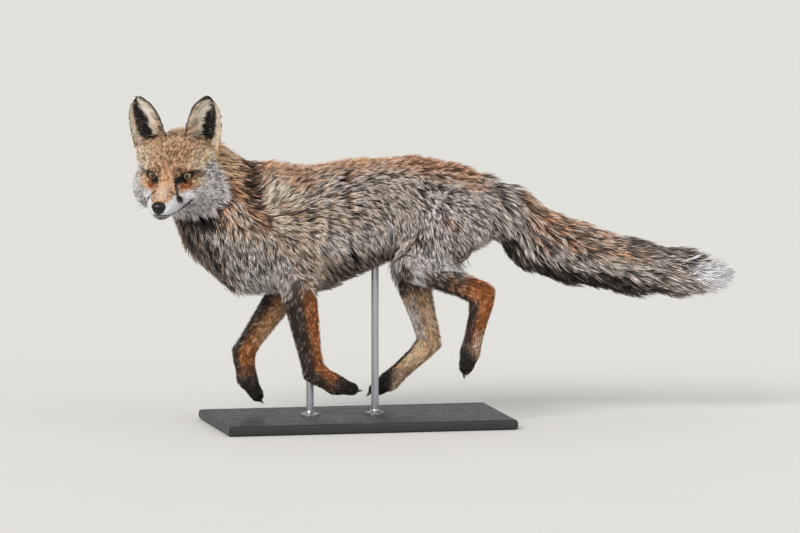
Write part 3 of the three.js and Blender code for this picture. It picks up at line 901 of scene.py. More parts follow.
def paint_brush(coat):
    x, up = coat.fox[:, 0], coat.normal[:, 2]
    tail = coat.of("tail")
    coat.brush("smoke", tail * 0.7)
    coat.brush("tan", tail * soft_step(-0.5, 0.3, up) * soft_step(300, 380, x) * 0.35)
    coat.brush("gold", tail * soft_step(0.0, 0.6, up) * soft_step(215, 260, x) * soft_step(400, 330, x) * 0.5)
    coat.brush("umber", tail * soft_step(-0.4, 0.5, up) * soft_step(200, 260, x) * 0.45)
    coat.brush("charcoal", tail * soft_step(-0.15, -0.60, up) * soft_step(190, 230, x))
    coat.brush("black", tail * soft_step(-0.25, -0.75, up) * soft_step(190, 230, x) * 0.65)
    coat.brush("charcoal", tail * soft_step(0.6, 0.9, up) * soft_step(380, 430, x) * 0.9)
    coat.brush("smoke", tail * soft_step(430, 490, x) * 0.7)
    coat.brush("charcoal", tail * soft_step(440, 490, x) * 0.4)
    coat.brush("charcoal", tail * soft_step(0.45, 0.85, np.abs(up)) * soft_step(440, 490, x) * 0.9)
    coat.brush("white", tail * soft_step(511, 529, x - 22 * (up < -0.3) - 26 * (up > 0.5)))


# %% Painting the legs
def round_the_bone(fox, leg):
    """How far down a leg each point is (0 to 3 bones), its bone's direction, and where the front is."""
    joints = np.array(LEG_LINES[leg], dtype=float)
    best = np.full(len(fox), np.inf)
    down = np.zeros(len(fox))
    along_bone = np.zeros_like(fox)
    to_front = np.zeros_like(fox)
    for number, (start, bone) in enumerate(zip(joints, np.diff(joints, axis=0))):
        along = np.clip((fox - start) @ bone / (bone @ bone), 0, 1)
        gap = np.linalg.norm(fox - start - along[:, None] * bone, axis=1)
        closer = gap < best
        best = np.where(closer, gap, best)
        down = np.where(closer, number + along, down)
        along_bone[closer] = unit(bone)
        to_front[closer] = unit(np.array((bone[2], 0, -bone[0])))  # a quarter turn from the bone
    return down, along_bone, to_front


def paint_hindleg(coat, here, down, front, inner):
    """Grey shank and orange below it; gives the orange part and how dark the front is."""
    outer = 1 - inner
    shank = here * soft_step(1.15, 0.85, down)
    coat.brush("umber", here * soft_step(0.3, 0.55, down) * soft_step(-0.7, 0.1, front) * outer * 0.85)
    lower = here * soft_step(0.6 - 0.4 * inner, 0.9 - 0.4 * inner, down)
    coat.brush("orange", lower)
    coat.brush("ember", lower * soft_step(0.3, -0.6, front) * outer * 0.75)
    coat.brush("gold", lower * inner * 0.6)
    coat.brush("straw", lower * inner * 0.5)
    coat.brush("ash", shank * inner * soft_step(0.3, 0.6, down) * soft_step(-0.1, 0.5, front) * 0.75)
    coat.brush("straw", lower * inner * soft_step(1.1, 1.5, down) * 0.5)
    coat.brush("charcoal", here * inner * soft_step(0.55, 0.15, down) * 0.6)
    coat.brush("charcoal", shank * outer * soft_step(0.62, 0.42, down + 0.15 * (front < 0)) * 0.65)
    coat.brush("charcoal", shank * outer * soft_step(0.35, 0.75, front) * soft_step(0.0, 0.4, down) * 0.85)
    coat.brush("ash", here * outer * soft_step(0.32, 0.08, down) * soft_step(0.9, 0.5, front) * 0.7)
    return lower, soft_step(0.05 + 0.75 * inner, 0.45 + 0.5 * inner, front) * soft_step(0.85, 1.1, down)


def paint_foreleg(coat, here, down, front, inner):
    """Orange from the elbow down; gives that part and how dark the front is."""
    lower = here * soft_step(0.02, 0.32, down - 0.2 * front)
    coat.brush("orange", lower)
    coat.brush("umber", lower * (1 - inner) * soft_step(-0.8, -0.2, front) * 0.5)
    coat.brush("smoke", here * soft_step(0.5, 0.1, down + 0.25 * (front < 0)) * 0.6)
    coat.brush("ember", lower * soft_step(0.2, -0.6, front) * 0.5)
    top = lower * inner * soft_step(1.1, 0.6, down)
    coat.brush("gold", top * soft_step(0.4, -0.2, front) * 0.8)
    coat.brush("smoke", top * soft_step(-0.2, 0.5, front) * 0.5)
    dark_front = soft_step(-0.35 + 0.6 * inner, 0.3 + 0.4 * inner, front)
    dark_front = dark_front * soft_step(0.0, 0.45, down + 0.25 * front)
    return lower, np.maximum(dark_front, inner * soft_step(1.35, 1.7, down) * 0.7)


def paint_legs(coat):
    for leg in LEG_LINES:
        is_hind = leg.startswith("hind")
        down, _, to_front = round_the_bone(coat.fox, leg)
        front = (coat.normal * to_front).sum(axis=1)
        inner = soft_step(-0.1, 0.4, coat.normal[:, 1] * SIGN[leg.split("_")[1]])
        here = coat.of(leg) * (1 - coat.of("thigh", "upper"))
        coat.brush("smoke", here * 0.6)
        lower, dark_front = (paint_hindleg if is_hind else paint_foreleg)(coat, here, down, front, inner)
        coat.brush("charcoal", here * dark_front * 0.95)
        coat.brush("umber", lower * soft_step(1.3, 1.9, down) * 0.6)
        paw = here * soft_step(1.72, 2.08, down)
        if is_hind:
            coat.brush("tan", here * soft_step(1.5, 1.8, down) * soft_step(0.4, -0.1, front) * 0.7)
            paw = here * soft_step(1.8, 2.25, down + 0.35 * front)
        coat.brush("charcoal", paw)
        coat.brush("black", paw * soft_step(2.0, 2.5, down) * 0.6)


# %% [markdown]
# ## The face and the ears
#
# The face carries the finest markings: a fox-red mask with a paler bridge, a dark tear from each eye to the
# whiskers, white lips and cheeks, a thin black line where the lips meet. Painted shade darkens the brow
# over each eye's inner corner and the chin under the muzzle. Ears are black behind and rimmed with black;
# in front, cream hair grows from the inner edge over a hollow that is painted dark for its shade.

# %% Spots and streaks on the face
# Each row has a tone and its strength, then a spot's middle and radii (forwards, to the side, up) or a
# streak's two ends and its half width. A last number, where there is one, is the softness.
BROW_SPOTS = (
    ("gold", 0.6, (-48, 0, 48), (34, 60, 30)),
    ("straw", 1.0, (-34, 50, 12), (34, 24, 26)),
    ("gold", 0.3, (-30, 42, 16), (26, 16, 24)),
    ("umber", 0.22, (-58, 0, 42), (22, 36, 16)),
    ("umber", 0.33, (-14, 0, 30), (28, 26, 18)),
    # painted shade: the brow's shadow over each eye's inner corner, laid in umber over the darker fur there
    ("umber", 0.85, (-4, 19, 9), (12, 10, 5.5)),
    ("bridge", 1.0, (44, 0, -9), (28, 13, 14)),
    ("cream", 0.5, (54, 0, -12), (18, 11, 10)),
)
BRIDGE_STREAKS = (
    ("umber", 0.25, (40, 13, -12), (60, 11, -18), 4.0),
    ("umber", 0.6, (40, 14, -14), (38, 24, -23), 4.0),
)
BROW_STREAKS = (
    ("umber", 0.7, (-12, 40, 1), (-24, 51, -4), 5.5),
    ("charcoal", 0.75, (-14, 39.5, 4), (-28, 50, 0.5), 3.2),
    ("umber", 0.7, (1, 12.7, 14), (11, 12.3, 5), 4.5),
)
CHEEK_STREAKS = (
    ("white", 1.0, (22, 27, -25), (4, 34, -28), 5.5),
    ("white", 0.8, (4, 34, -28), (-8, 44, -33), 4.0),
)
EYE_CORNER_STREAKS = (
    ("charcoal", 0.9, (-2, 22, -2), (13, 15.5, -4), 6.5),
    ("black", 0.9, (-2, 22, -2), (8, 18, -3), 5.0),
    ("black", 0.8, (7, 18.5, -3), (16, 14.5, -4), 3.8),
)
print("spots on the brow and the bridge:", len(BROW_SPOTS))


# %% Painting the face
def paint_lids(coat, face):
    """A brown ring round each eye, and the lids' black edge, which is thickest above and at the corners."""
    for side in SIDES:
        distance, seen, measure = on_eye(coat.points, side)
        close = soft_step(18, 15, distance)
        inner = soft_step(2, -6, seen[:, 1])
        outer = soft_step(2, 7, seen[:, 1])
        ring = face * close * soft_step(2.0, 1.3, measure)
        coat.brush("umber", ring * (0.5 + 0.45 * np.maximum(inner, outer)))
        above = 0.18 * (seen[:, 2] > 0)
        line = soft_step(1.30 + 0.25 * inner + above, 1.08 + 0.2 * inner + above, measure)
        coat.brush("black", face * close * line)


def paint_face(coat):
    forward, up = coat.head[:, 0], coat.head[:, 2]
    over_lips = up - mouth_height(forward)
    face = coat.of("head", "lower_jaw")
    coat.brush("mask", face)
    coat.lay(coat.spot, face, BROW_SPOTS)
    coat.lay(coat.streak, face, BRIDGE_STREAKS)
    coat.brush("ember", face * coat.spot((0, 27, -13), (15, 12, 7)) * 0.95)
    coat.lay(coat.streak, face, BROW_STREAKS)
    coat.brush("ash", face * coat.spot((-46, 66, -26), (30, 30, 36), 0.3))
    coat.brush("ash", face * soft_step(-18, -27, up) * soft_step(14, 2, forward))
    coat.brush("white", face * coat.spot((2, 33, -36), (26, 13, 8)))
    coat.lay(coat.streak, face, CHEEK_STREAKS)
    coat.brush("white", face * soft_step(-15, -20, up + 0.10 * (forward - 40)) * soft_step(16, 24, forward))
    coat.brush("ash", face * soft_step(0, -5, over_lips) * 0.9)
    coat.brush("white", face * coat.spot((-22, 52, -34), (26, 22, 24), 0.6) * 0.45)
    coat.brush("smoke", face * soft_step(-3, -9, over_lips) * soft_step(-20, 10, forward) * 0.6)
    coat.brush("white", face * soft_step(0, -4, over_lips) * soft_step(35, 50, forward) * 0.5)
    upper_tear = coat.streak((15, 15, -5), (21, 17, -13), 4.4)
    tear = np.maximum(upper_tear, coat.streak((21, 17, -13), (36, 22, -20), 4.0))
    coat.brush("umber", face * tear)
    coat.brush("charcoal", face * tear * 0.5)
    coat.lay(coat.streak, face, EYE_CORNER_STREAKS)
    coat.brush("charcoal", face * coat.spot((37, 25, -24), (10, 8, 6)))
    coat.brush("black", face * coat.streak((37, 24, -23), (33, 28, -29), 3.6) * 0.8)
    # painted shade: the chin under the muzzle, darkened with charcoal just below the lips at the front
    coat.brush("charcoal", face * soft_step(-1, -3, over_lips) * soft_step(46, 60, forward) * 0.75)
    lips_wide = 1.6 + 1.2 * soft_step(60, 40, forward)
    coat.brush("black", face * np.exp(-((over_lips / lips_wide) ** 2)) * soft_step(2, 14, forward))
    paint_lids(coat, face)


# %% Painting the ears
def paint_ears(coat):
    inside = soft_step(-0.05, 0.25, coat.normal @ HEAD_AXES[0])
    for side in SIDES:
        ear = coat.of("ear_" + side)
        front = ear * inside
        height, across = on_ear(coat.points, side)
        # black backs and rims; in front, the black that stays in the hollow is painted shade
        coat.brush("black", ear)
        foot = 0.35 * soft_step(0.35, 0.1, height)
        hollow_from = -0.40 + 0.38 * soft_step(0.5, 0.88, height) - foot
        hollow_to = 0.64 - 0.3 * soft_step(0.85, 0.98, height) - foot
        # painted shade: between the cream edges the hollow keeps the black laid above and takes some charcoal
        coat.brush("charcoal", front * soft_step(-0.1, 0.3, across) * 0.5)
        coat.brush("cream", front * soft_step(hollow_from + 0.16, hollow_from - 0.1, across))
        beside_hollow = soft_step(-0.75, -0.45, across) * soft_step(hollow_from, hollow_from - 0.2, across)
        coat.brush("white", front * beside_hollow * 0.4)
        coat.brush("straw", front * soft_step(0.7, 0.9, height) * soft_step(0.4, -0.3, across) * 0.6)
        coat.brush("gold", front * soft_step(-0.35, -0.7, across) * soft_step(0.85, 0.2, height) * 0.65)
        coat.brush("cream", front * soft_step(hollow_to - 0.06, hollow_to + 0.08, across))
        coat.brush("tan", front * soft_step(0.80, 0.90, height) * soft_step(0.98, 0.92, height) * 0.6)
        coat.brush("gold", front * soft_step(0.16, 0.02, height + 0.08 * across) * 0.9)
        rim = np.maximum(np.abs(across) - 0.05 * (across > 0), height - 0.01)
        coat.brush("black", ear * soft_step(0.87, 0.92, rim) * soft_step(0.12, 0.3, height))
        coat.brush("gold", ear * (1 - inside) * soft_step(0.35, 0.05, height))


# %% Painting the skin itself
def markings(points, normals, solid, mottle=None):
    """The coat's tones at these points of the skin: root, middle and tip colours in linear light."""
    coat = Markings(points, normals, solid, mottle)
    for paint_part in (paint_trunk, paint_brush, paint_legs, paint_face, paint_ears):
        paint_part(coat)
    return coat.tones


def colour_attribute(mesh, name, colours):
    layer = mesh.attributes.new(name, "FLOAT_COLOR", "POINT")
    write(layer.data, "color", np.column_stack((colours, np.ones(len(colours)))))


skin_points, skin_normals = points_of(skin.data), normals_of(skin.data)
skin_solid = nearest_solid(skin_points)
skin_tones = markings(skin_points, skin_normals, skin_solid)
depth = read(skin.data.attributes["coat depth"].data, "value", 1).ravel()
root_share = soft_step(3, 9, depth)[:, None]  # deep fur hides its skin, short hair shows its colour
skin_colours = skin_tones[:, 1] * 0.85 * (1 - root_share) + skin_tones[:, 0] * 0.7 * root_share
colour_attribute(skin.data, "markings", skin_colours)

pelt = Paint("pelt", Roughness=0.75, Specular_IOR_Level=0.2)
hair_noise = pelt.noise(0.0011, 4.0)
fleck = pelt.ramp(pelt.noise(0.0022, 3.0), 0.35, 0.65)
marked = pelt.attribute("markings")
dark = pelt.mix(1.0, marked, (0.62, 0.60, 0.58, 1), "MULTIPLY")
pale = pelt.mix(1.0, marked, (1.25, 1.25, 1.25, 1), "MULTIPLY")
pelt.wear(Base_Color=pelt.mix(fleck, dark, pale), Normal=pelt.bump(hair_noise, 0.0006, 0.6))
dress(skin, pelt)
print("skin painted:", len(skin_points), "points")

# %% [markdown]
# ## Which way the hair lies
#
# Hair grows backwards from the nose, over the back and flanks, down the legs and out along the brush. On
# the flank it fans: above a line behind the shoulder it sweeps up towards the spine, below it down to the
# belly. So the lie is set by guides, as one combs a real coat: a place on the side of the body and an angle
# there, and every point takes the mean of the guides near it. The result is laid flat on the skin.

# %% Guides for the lie
SIDE_LIE = (  # back, up, and degrees that the hair rises from straight back, seen from the fox's left
    (-145, 420, 18), (-80, 425, 15), (-15, 430, 10), (55, 435, 0), (100, 430, -12), (145, 410, -30),
    (185, 380, -42), (-190, 420, 60), (-175, 395, 60), (-170, 370, 57), (-190, 365, 55), (-135, 385, 45),
    (-125, 360, 36), (-85, 385, 28), (-45, 390, 18), (-150, 345, 8), (-110, 345, 0), (-60, 350, -5),
    (-20, 360, -5), (5, 405, 3), (10, 380, -25), (20, 365, -55), (35, 340, -75), (30, 300, -92),
    (55, 315, -98), (60, 380, -42), (85, 355, -48), (100, 395, -32), (135, 380, -36), (120, 340, -48),
    (95, 310, -75), (125, 300, -55), (160, 305, -50), (165, 355, -36), (-125, 305, -48), (-80, 305, -42),
    (-45, 320, -40), (-20, 335, -42), (-45, 285, -45), (-15, 295, -60), (-95, 265, -40), (-145, 265, -62),
    (-175, 280, -70), (-215, 315, -75), (-235, 345, -75), (-240, 290, -70), (-305, 315, -50),
    (-265, 270, -45), (-210, 235, -40), (85, 270, -78), (120, 260, -60), (70, 235, -68), (-60, 245, -15),
    (-15, 255, -10), (-235, 425, -10), (-240, 390, -40), (-262, 440, -5), (-280, 370, -65),
)  # fmt: skip
print("guides:", len(SIDE_LIE))

# %% The lie on body, brush, head and ears
GUIDE_REACH = 22.0
TAIL_LINE = (
    (170, 0, 360), (221, 0, 335), (270, 1, 294), (334, 3, 268),
    (432, 6, 246), (498, 7, 238), (543, 6, 233), (575, 5, 231),
)  # fmt: skip
HALF_STEP = 12.0  # the brush's slope is taken over twice this length


def side_lie(fox, normals):
    """The mean of the guides near each point; along the spine and the belly it turns straight back."""
    guides = np.array(SIDE_LIE, dtype=float)
    reach = ((fox[:, None, [0, 2]] - guides[None, :, :2]) ** 2).sum(axis=2)
    weight = np.exp(-reach / (2 * GUIDE_REACH**2)) + 1e-7 / (1 + reach)
    turn = np.radians(guides[:, 2])
    lie = np.column_stack((weight @ np.cos(turn), np.zeros(len(fox)), weight @ np.sin(turn)))
    edge_on = soft_step(0.55, 0.95, np.abs(normals[:, 2]))[:, None]
    return unit(unit(lie) * (1 - edge_on) + np.array((1.0, 0, 0)) * edge_on)


def tail_lie(fox, normals):
    """Along the brush, drooping at its sides near the root."""
    back, *others = np.array(TAIL_LINE, dtype=float).T
    x = fox[:, 0]
    after, before = x + HALF_STEP, x - HALF_STEP
    slope = [np.interp(after, back, other) - np.interp(before, back, other) for other in others]
    lie = unit(np.column_stack((np.full(len(x), 2 * HALF_STEP), *slope)))
    lie[:, 2] -= 0.75 * soft_step(420, 200, x) * (1 - np.abs(normals[:, 2]))
    return unit(lie)


def head_lie(points):
    """Back from the nose: over the brow, out over the cheeks, down along the lips and throat."""
    head = to_head(points)
    sign = np.sign(head[:, 1])
    low = soft_step(0, -40, head[:, 2])
    outward = sign * (0.15 + 0.55 * low * soft_step(30, -20, head[:, 0]))
    rise = 0.35 * soft_step(-10, 20, head[:, 2]) * soft_step(-30, 0, head[:, 0]) - 0.45 * low
    return unit(np.column_stack((-np.ones(len(head)), outward, rise)) @ HEAD_AXES)


def on_nearer_ear(points):
    """Which ear each point is nearer to (1 is the left one), its height there and its place across."""
    side = np.where(to_head(points)[:, 1] > 0, 1.0, -1.0)
    both = zip(on_ear(points, "left"), on_ear(points, "right"))
    return side, *(np.where(side > 0, left, right) for left, right in both)


def ear_lie(points, normals):
    """Up the back of the ear; in front, from the inner edge out over the hollow."""
    side, height, across = on_nearer_ear(points)
    inside = soft_step(-0.05, 0.25, normals @ HEAD_AXES[0])
    sweep = side * inside * np.where(across < 0.6, 1.0, -0.5)
    rise = np.where(inside > 0.5, 1.5 * height - 0.45, 1.0)
    return unit(np.column_stack((0.35 * inside, sweep, rise)) @ HEAD_AXES)


def on_skin(lie, normals):
    """Directions laid flat on the skin."""
    return unit(lie - (lie * normals).sum(axis=1, keepdims=True) * normals)


# %% Combing the whole skin
skin_fox = to_fox(skin_points)
lie = side_lie(skin_fox, skin_normals)
lie = np.where(is_one_of(skin_solid, "tail")[:, None], tail_lie(skin_fox, skin_normals), lie)
lie = np.where(is_one_of(skin_solid, "head", "jaw")[:, None], head_lie(skin_points), lie)
lie = np.where(is_one_of(skin_solid, "ear_")[:, None], ear_lie(skin_points, skin_normals), lie)
for leg in LEG_LINES:
    lower = is_one_of(skin_solid, leg) & ~is_one_of(skin_solid, "thigh", "upper")
    lie = np.where(lower[:, None], round_the_bone(skin_fox, leg)[1], lie)
edges = edges_of(skin.data)
lie = on_skin(averaged(on_skin(lie, skin_normals), edges, 6), skin_normals)
print("combed", len(lie), "points")

# %% [markdown]
# ## The coat, tuft by tuft
#
# Each tuft is a thin closed lock with three sides: wide near its root, pointed at its tip, laid along the
# combed direction and lifted a little off the skin. Long hair gets three rings of points, short hair two.
# Roots are scattered evenly over the skin. Neighbours are drawn together into clumps, whose tips lean
# towards a leading tuft, because a winter coat parts into locks. At last every tuft is pressed towards the
# body where it would stand off a curve, and lifted out where it would sink in.

# %% The skin as triangles
skin.data.calc_loop_triangles()
triangles = read(skin.data.loop_triangles, "vertices", 3, np.int32)
map_corners = read(skin.data.loop_triangles, "loops", 3, np.int32)
map_places = read(skin.data.uv_layers[MAP].data, "uv", 2)[map_corners]
skin_tree = BVHTree.FromPolygons(skin_points.tolist(), triangles.tolist())
edge_one, edge_two = (skin_points[triangles[:, n]] - skin_points[triangles[:, 0]] for n in (1, 2))
triangle_area = np.linalg.norm(np.cross(edge_one, edge_two), axis=1) / 2
print("skin area:", round(triangle_area.sum(), 3), "square metres in", len(triangles), "triangles")


# %% Lids, muzzle, ears and the brush's end
ON_THE_LIDS = EYE_RADIUS + 3  # distance from the eye's middle
NAKED_LID = 1.12  # the almond's measure up to which the lids are bare
NAKED_LIP = 0.9  # half the width of the bare line between the lips
LIPS_START = 22  # ahead of the eyes

head_place = to_head(skin_points)
nose_place = to_head(np.array(middle("nose")))
to_pad = np.linalg.norm((head_place - nose_place) / (11, 12, 10), axis=1)  # 1 at the nose pad's edge
by_eye = [on_eye(skin_points, side) for side in SIDES]
by_eye = [np.where(far < ON_THE_LIDS, measure, OFF_THE_BALL) for far, _, measure in by_eye]
lid_measure = np.min(by_eye, axis=0)
by_the_lids = soft_step(2.2, 1.2, lid_measure)
on_head = is_one_of(skin_solid, "head", "jaw")
on_muzzle = on_head * soft_step(-10, 45, head_place[:, 0])
on_tail = is_one_of(skin_solid, "tail")
tail_end = on_tail * soft_step(430, 500, skin_fox[:, 0])
tail_cap = tail_end * soft_step(0.3, 0.8, skin_normals[:, 0])
tail_top = on_tail * soft_step(340, 440, skin_fox[:, 0]) * soft_step(0.1, 0.7, skin_normals[:, 2])
under_belly = is_one_of(skin_solid, "belly") * soft_step(0, -0.6, skin_normals[:, 2])
under_belly = under_belly * soft_step(-70, -30, skin_fox[:, 0]) * soft_step(60, 30, skin_fox[:, 0])
in_ear = is_one_of(skin_solid, "ear_") * soft_step(0.05, 0.35, skin_normals @ HEAD_AXES[0])
_, _, ear_across = on_nearer_ear(skin_points)
from_inner_edge = in_ear * soft_step(0.0, -0.2, ear_across)
off_line = np.abs(head_place[:, 2] - mouth_height(head_place[:, 0]))
bare = (lid_measure < NAKED_LID) | (to_pad < 1.0)
bare |= (off_line < NAKED_LIP) & (head_place[:, 0] > LIPS_START)
print("bare points at lids, lips and nose:", int(bare.sum()))

# %% How long, lofty and wide the hair is at each point of the skin
hair_length = 4 + 1.15 * depth + 2 * is_one_of(skin_solid, "neck") + 12 * on_tail
hair_length -= 0.65 * (depth - 1.7).clip(0) * on_head
hair_length += 8 * tail_end * (1 - tail_cap) - 9 * tail_cap
hair_length = averaged(hair_length, edges, 10)
hair_length *= (1 - 0.45 * on_muzzle) * (1 - 0.45 * by_the_lids)
hair_length += 9 * from_inner_edge

hair_loft = depth * (1 - 0.35 * on_muzzle) * (1 - 0.5 * by_the_lids)
hair_loft = averaged(hair_loft * (1 - 0.45 * tail_top) + 7 * under_belly, edges, 10)
hair_loft += 1.8 * from_inner_edge

hair_width = 0.38 + 0.032 * hair_length
hair_free = 1.25 + 0.5 * tail_end  # how far over its loft a hair may stand, as a factor
hair_table = np.column_stack((hair_length, hair_loft, hair_width, hair_free))
print("hair from", hair_length.min().round(1), "to", hair_length.max().round(1), "long")


# %% One tuft's pattern, and a mesh of many
WIDTH_ALONG = {3: ((0.0, 0.8), (0.35, 1.0), (0.7, 0.72)), 2: ((0.0, 0.9), (0.5, 0.85))}
SECTION = np.array(((-0.5, 0.0), (0.0, 0.45), (0.5, 0.0)))  # left edge, ridge, right edge
PATCH = 0.003  # a tuft's size on the map
SUNK = 0.5  # how deep the roots stick in the skin
TOUCHING = 0.0008  # nearer to the skin than this, in metres, its own normal shows the way up


def lock_faces(rings, sides=3):
    """The corners of each face of one tuft: bands of quads, the pointed end, and the closed root."""
    around = [(n, (n + 1) % sides) for n in range(sides)]
    faces = []
    for low in range(0, (rings - 1) * sides, sides):
        faces += [(low + a, low + b, low + sides + b, low + sides + a) for a, b in around]
    last = (rings - 1) * sides
    faces += [(last + a, last + b, rings * sides) for a, b in around]
    return faces + [tuple(range(sides))[::-1]]


def many_meshes(name, points, faces, map_roots, map_offsets, colours):
    """One mesh from many copies of a pattern; `points` and `colours` come tuft by tuft."""
    tufts, per_tuft = points.shape[:2]
    corners = np.concatenate(faces)
    starts = np.cumsum([0] + [len(face) for face in faces[:-1]])
    number = np.arange(tufts)[:, None]
    mesh = bpy.data.meshes.new(name)
    mesh.vertices.add(tufts * per_tuft)
    write(mesh.vertices, "co", points)
    mesh.loops.add(tufts * len(corners))
    write(mesh.loops, "vertex_index", corners + per_tuft * number, np.int32)
    mesh.polygons.add(tufts * len(faces))
    write(mesh.polygons, "loop_start", starts + len(corners) * number, np.int32)
    mesh.update(calc_edges=True)
    write(mesh.polygons, "use_smooth", np.ones(len(mesh.polygons)), bool)
    places = np.clip(map_roots[:, None] + map_offsets[corners][None], 0, 1)
    write(mesh.uv_layers.new(name=MAP).data, "uv", places)
    colour_attribute(mesh, "markings", colours.reshape(-1, 3))
    piece = bpy.data.objects.new(name, mesh)
    bpy.context.scene.collection.objects.link(piece)
    return piece


print("faces of a long tuft:", len(lock_faces(3)), "and of a short one:", len(lock_faces(2)))


# %% Where tufts stand, and how they lie
def scattered(where, count, dice):
    """Roots spread evenly over the skin's triangles where its points have `where` above 0: the triangle of
    each root, and its three corners' shares in it."""
    weight = triangle_area * (where * ~bare)[triangles].min(axis=1)
    steps = (np.arange(count) + dice.random(count)) / count
    face = np.minimum(np.searchsorted(np.cumsum(weight), steps * weight.sum()), len(triangles) - 1)
    a, b = dice.random((2, count))
    a, b = np.where(a + b > 1, 1 - a, a), np.where(a + b > 1, 1 - b, b)
    return face, np.column_stack((1 - a - b, a, b))


def led(root, clump, dice):
    """For each root the number of its leading tuft, the nearest one; one tuft in `clump` leads."""
    leaders = np.sort(dice.permutation(len(root))[: max(1, len(root) // clump)])
    finder = KDTree(len(leaders))
    for number, leader in enumerate(leaders):
        finder.insert(root[leader], number)
    finder.balance()
    return leaders[[finder.find(point)[1] for point in root]]


def pressed(paths, low, high):
    """Moves points of the paths so that they lie between two heights over the skin, in millimetres."""
    flat = paths.reshape(-1, 3)
    found = [skin_tree.find_nearest(point) for point in flat.tolist()]
    ground = np.array([place for place, _, _, _ in found])
    outside = np.array([normal for _, normal, _, _ in found])
    away = flat - ground
    height = np.linalg.norm(away, axis=1)
    sign = np.where((away * outside).sum(axis=1) < 0, -1.0, 1.0)
    straight_up = away / np.maximum(height, 1e-9)[:, None] * sign[:, None]
    straight_up = np.where(height[:, None] > TOUCHING, straight_up, outside)
    wanted = np.clip(height * sign, low.ravel() * MM, high.ravel() * MM)
    return (ground + straight_up * wanted[:, None]).reshape(paths.shape)


# %% A tuft's body and its colours
def with_body(paths, normal, rings_wide):
    """The points of tufts: three round each point of the path, and one at the tip."""
    slope = unit(np.diff(paths, axis=1))
    up = unit(normal[:, None] - (normal[:, None] * slope).sum(axis=2, keepdims=True) * slope)
    right = np.cross(slope, up)
    off_path = SECTION[:, :1] * right[:, :, None] + SECTION[:, 1:] * up[:, :, None]
    corners = paths[:, :-1, None] + rings_wide[:, :, None, None] * off_path
    return np.concatenate((corners.reshape(len(paths), -1, 3), paths[:, -1:]), axis=1)


def banded(tones, fleck, rings):
    """Colours from root to tip; above 0 a fleck lightens the whole tuft, below 0 it darkens it."""
    bright = np.exp(tones[:, 3, :1] * fleck[:, None])
    root_tone, middle_tone, tip_tone = (tones[:, n] * bright for n in range(3))
    bands = [root_tone, 0.2 * root_tone + 0.8 * middle_tone, 0.55 * middle_tone + 0.45 * tip_tone]
    if rings == 2:
        bands = [0.3 * root_tone + 0.7 * middle_tone, 0.75 * middle_tone + 0.25 * tip_tone]
    colours = np.stack([band for band in bands for _ in range(3)] + [tip_tone], axis=1)
    brightest = np.maximum(colours.max(axis=2, keepdims=True), 1)
    return 1 - (1 - colours / brightest) / brightest**0.5  # too bright a colour pales towards white


# %% Growing many tufts
SWAY = 0.2  # how far tips curve to the side, as a share of the length
HABIT = {
    "rings": 2,
    "clump": 4,  # tufts to one leading tuft
    "pull": 0.5,  # how far tips lean towards the leading one
    "stray": 0.16,  # how much directions differ
    "longer": 1.0,
    "locks": 0.9,  # how much light clumps differ from dark ones
    "seen": 0.55,  # the share of its length at which a tuft takes its markings
}


def grow(name, where, count, seed, **own_habit):
    """Grows `count` tufts where the skin's points have `where` above 0, and returns the piece."""
    rings, clump, pull, stray, longer, locks, seen = (HABIT | own_habit).values()
    dice = np.random.default_rng(seed)
    face, share = scattered(where, count, dice)

    def here(values):
        return (values[triangles[face]] * share[:, :, None]).sum(axis=1)

    root, normal = here(skin_points), unit(here(skin_normals))
    along = on_skin(here(lie), normal)
    length, loft, width, free = here(hair_table).T
    leader_of = led(root, clump, dice)
    own, shared = dice.normal(size=(2, 5, count)).clip(-2, 2)
    shared = shared[:, leader_of]
    pale = np.sign(shared[0])  # light clumps lie over dark ones

    across = np.cross(along, normal)
    along = unit(along + across * (stray * (0.45 * own[0] + 0.8 * shared[0]))[:, None])
    length = length * longer * (1 + 0.13 * own[1] + 0.10 * shared[1])
    loft = loft * (0.90 + 0.10 * own[2] + 0.04 * shared[2] + 0.08 * pale).clip(0.4, 1.15)
    bend = SWAY * (0.4 * own[3] + 0.7 * shared[3])

    ring_places, ring_widths = np.array(WIDTH_ALONG[rings]).T
    t = np.append(ring_places, 1.0)
    height = loft[:, None] * (1 - (1 - t) ** 2)
    reach = (length[:, None] * t)[:, :, None] * along[:, None]
    side = (length * bend)[:, None, None] * (t**2)[None, :, None] * across[:, None]
    paths = root[:, None] + (reach + side + height[:, :, None] * normal[:, None]) * MM
    paths += (paths[leader_of] - paths) * (pull * t**1.5)[None, :, None]
    paths[:, 1:] = pressed(paths[:, 1:], 0.75 * height[:, 1:], free[:, None] * height[:, 1:] + 0.2)
    paths[:, 0] = root - normal * SUNK * MM
    wide = width * (1 + 0.18 * own[4]) * MM
    points = with_body(paths, normal, wide[:, None] * ring_widths)

    mottle = (0.5 + 0.24 * own[4] + 0.12 * shared[4]).clip(0, 1)
    seen_at = root + along * (seen * length * MM)[:, None]
    tones = markings(seen_at, normal, skin_solid[triangles[face, 0]], mottle)
    fleck = 0.6 * np.sign(own[3]) + 0.25 * own[4] + locks * pale + 0.1 * shared[3] - 0.1
    offsets = [(PATCH * x, PATCH * (step - 0.5)) for step in ring_places for x, _ in SECTION]
    offsets.append((0, PATCH / 2))
    map_roots = (map_places[face] * share[:, :, None]).sum(axis=1)
    colours = banded(tones, fleck, rings)
    return many_meshes(name, points, lock_faces(rings), map_roots, np.array(offsets), colours)


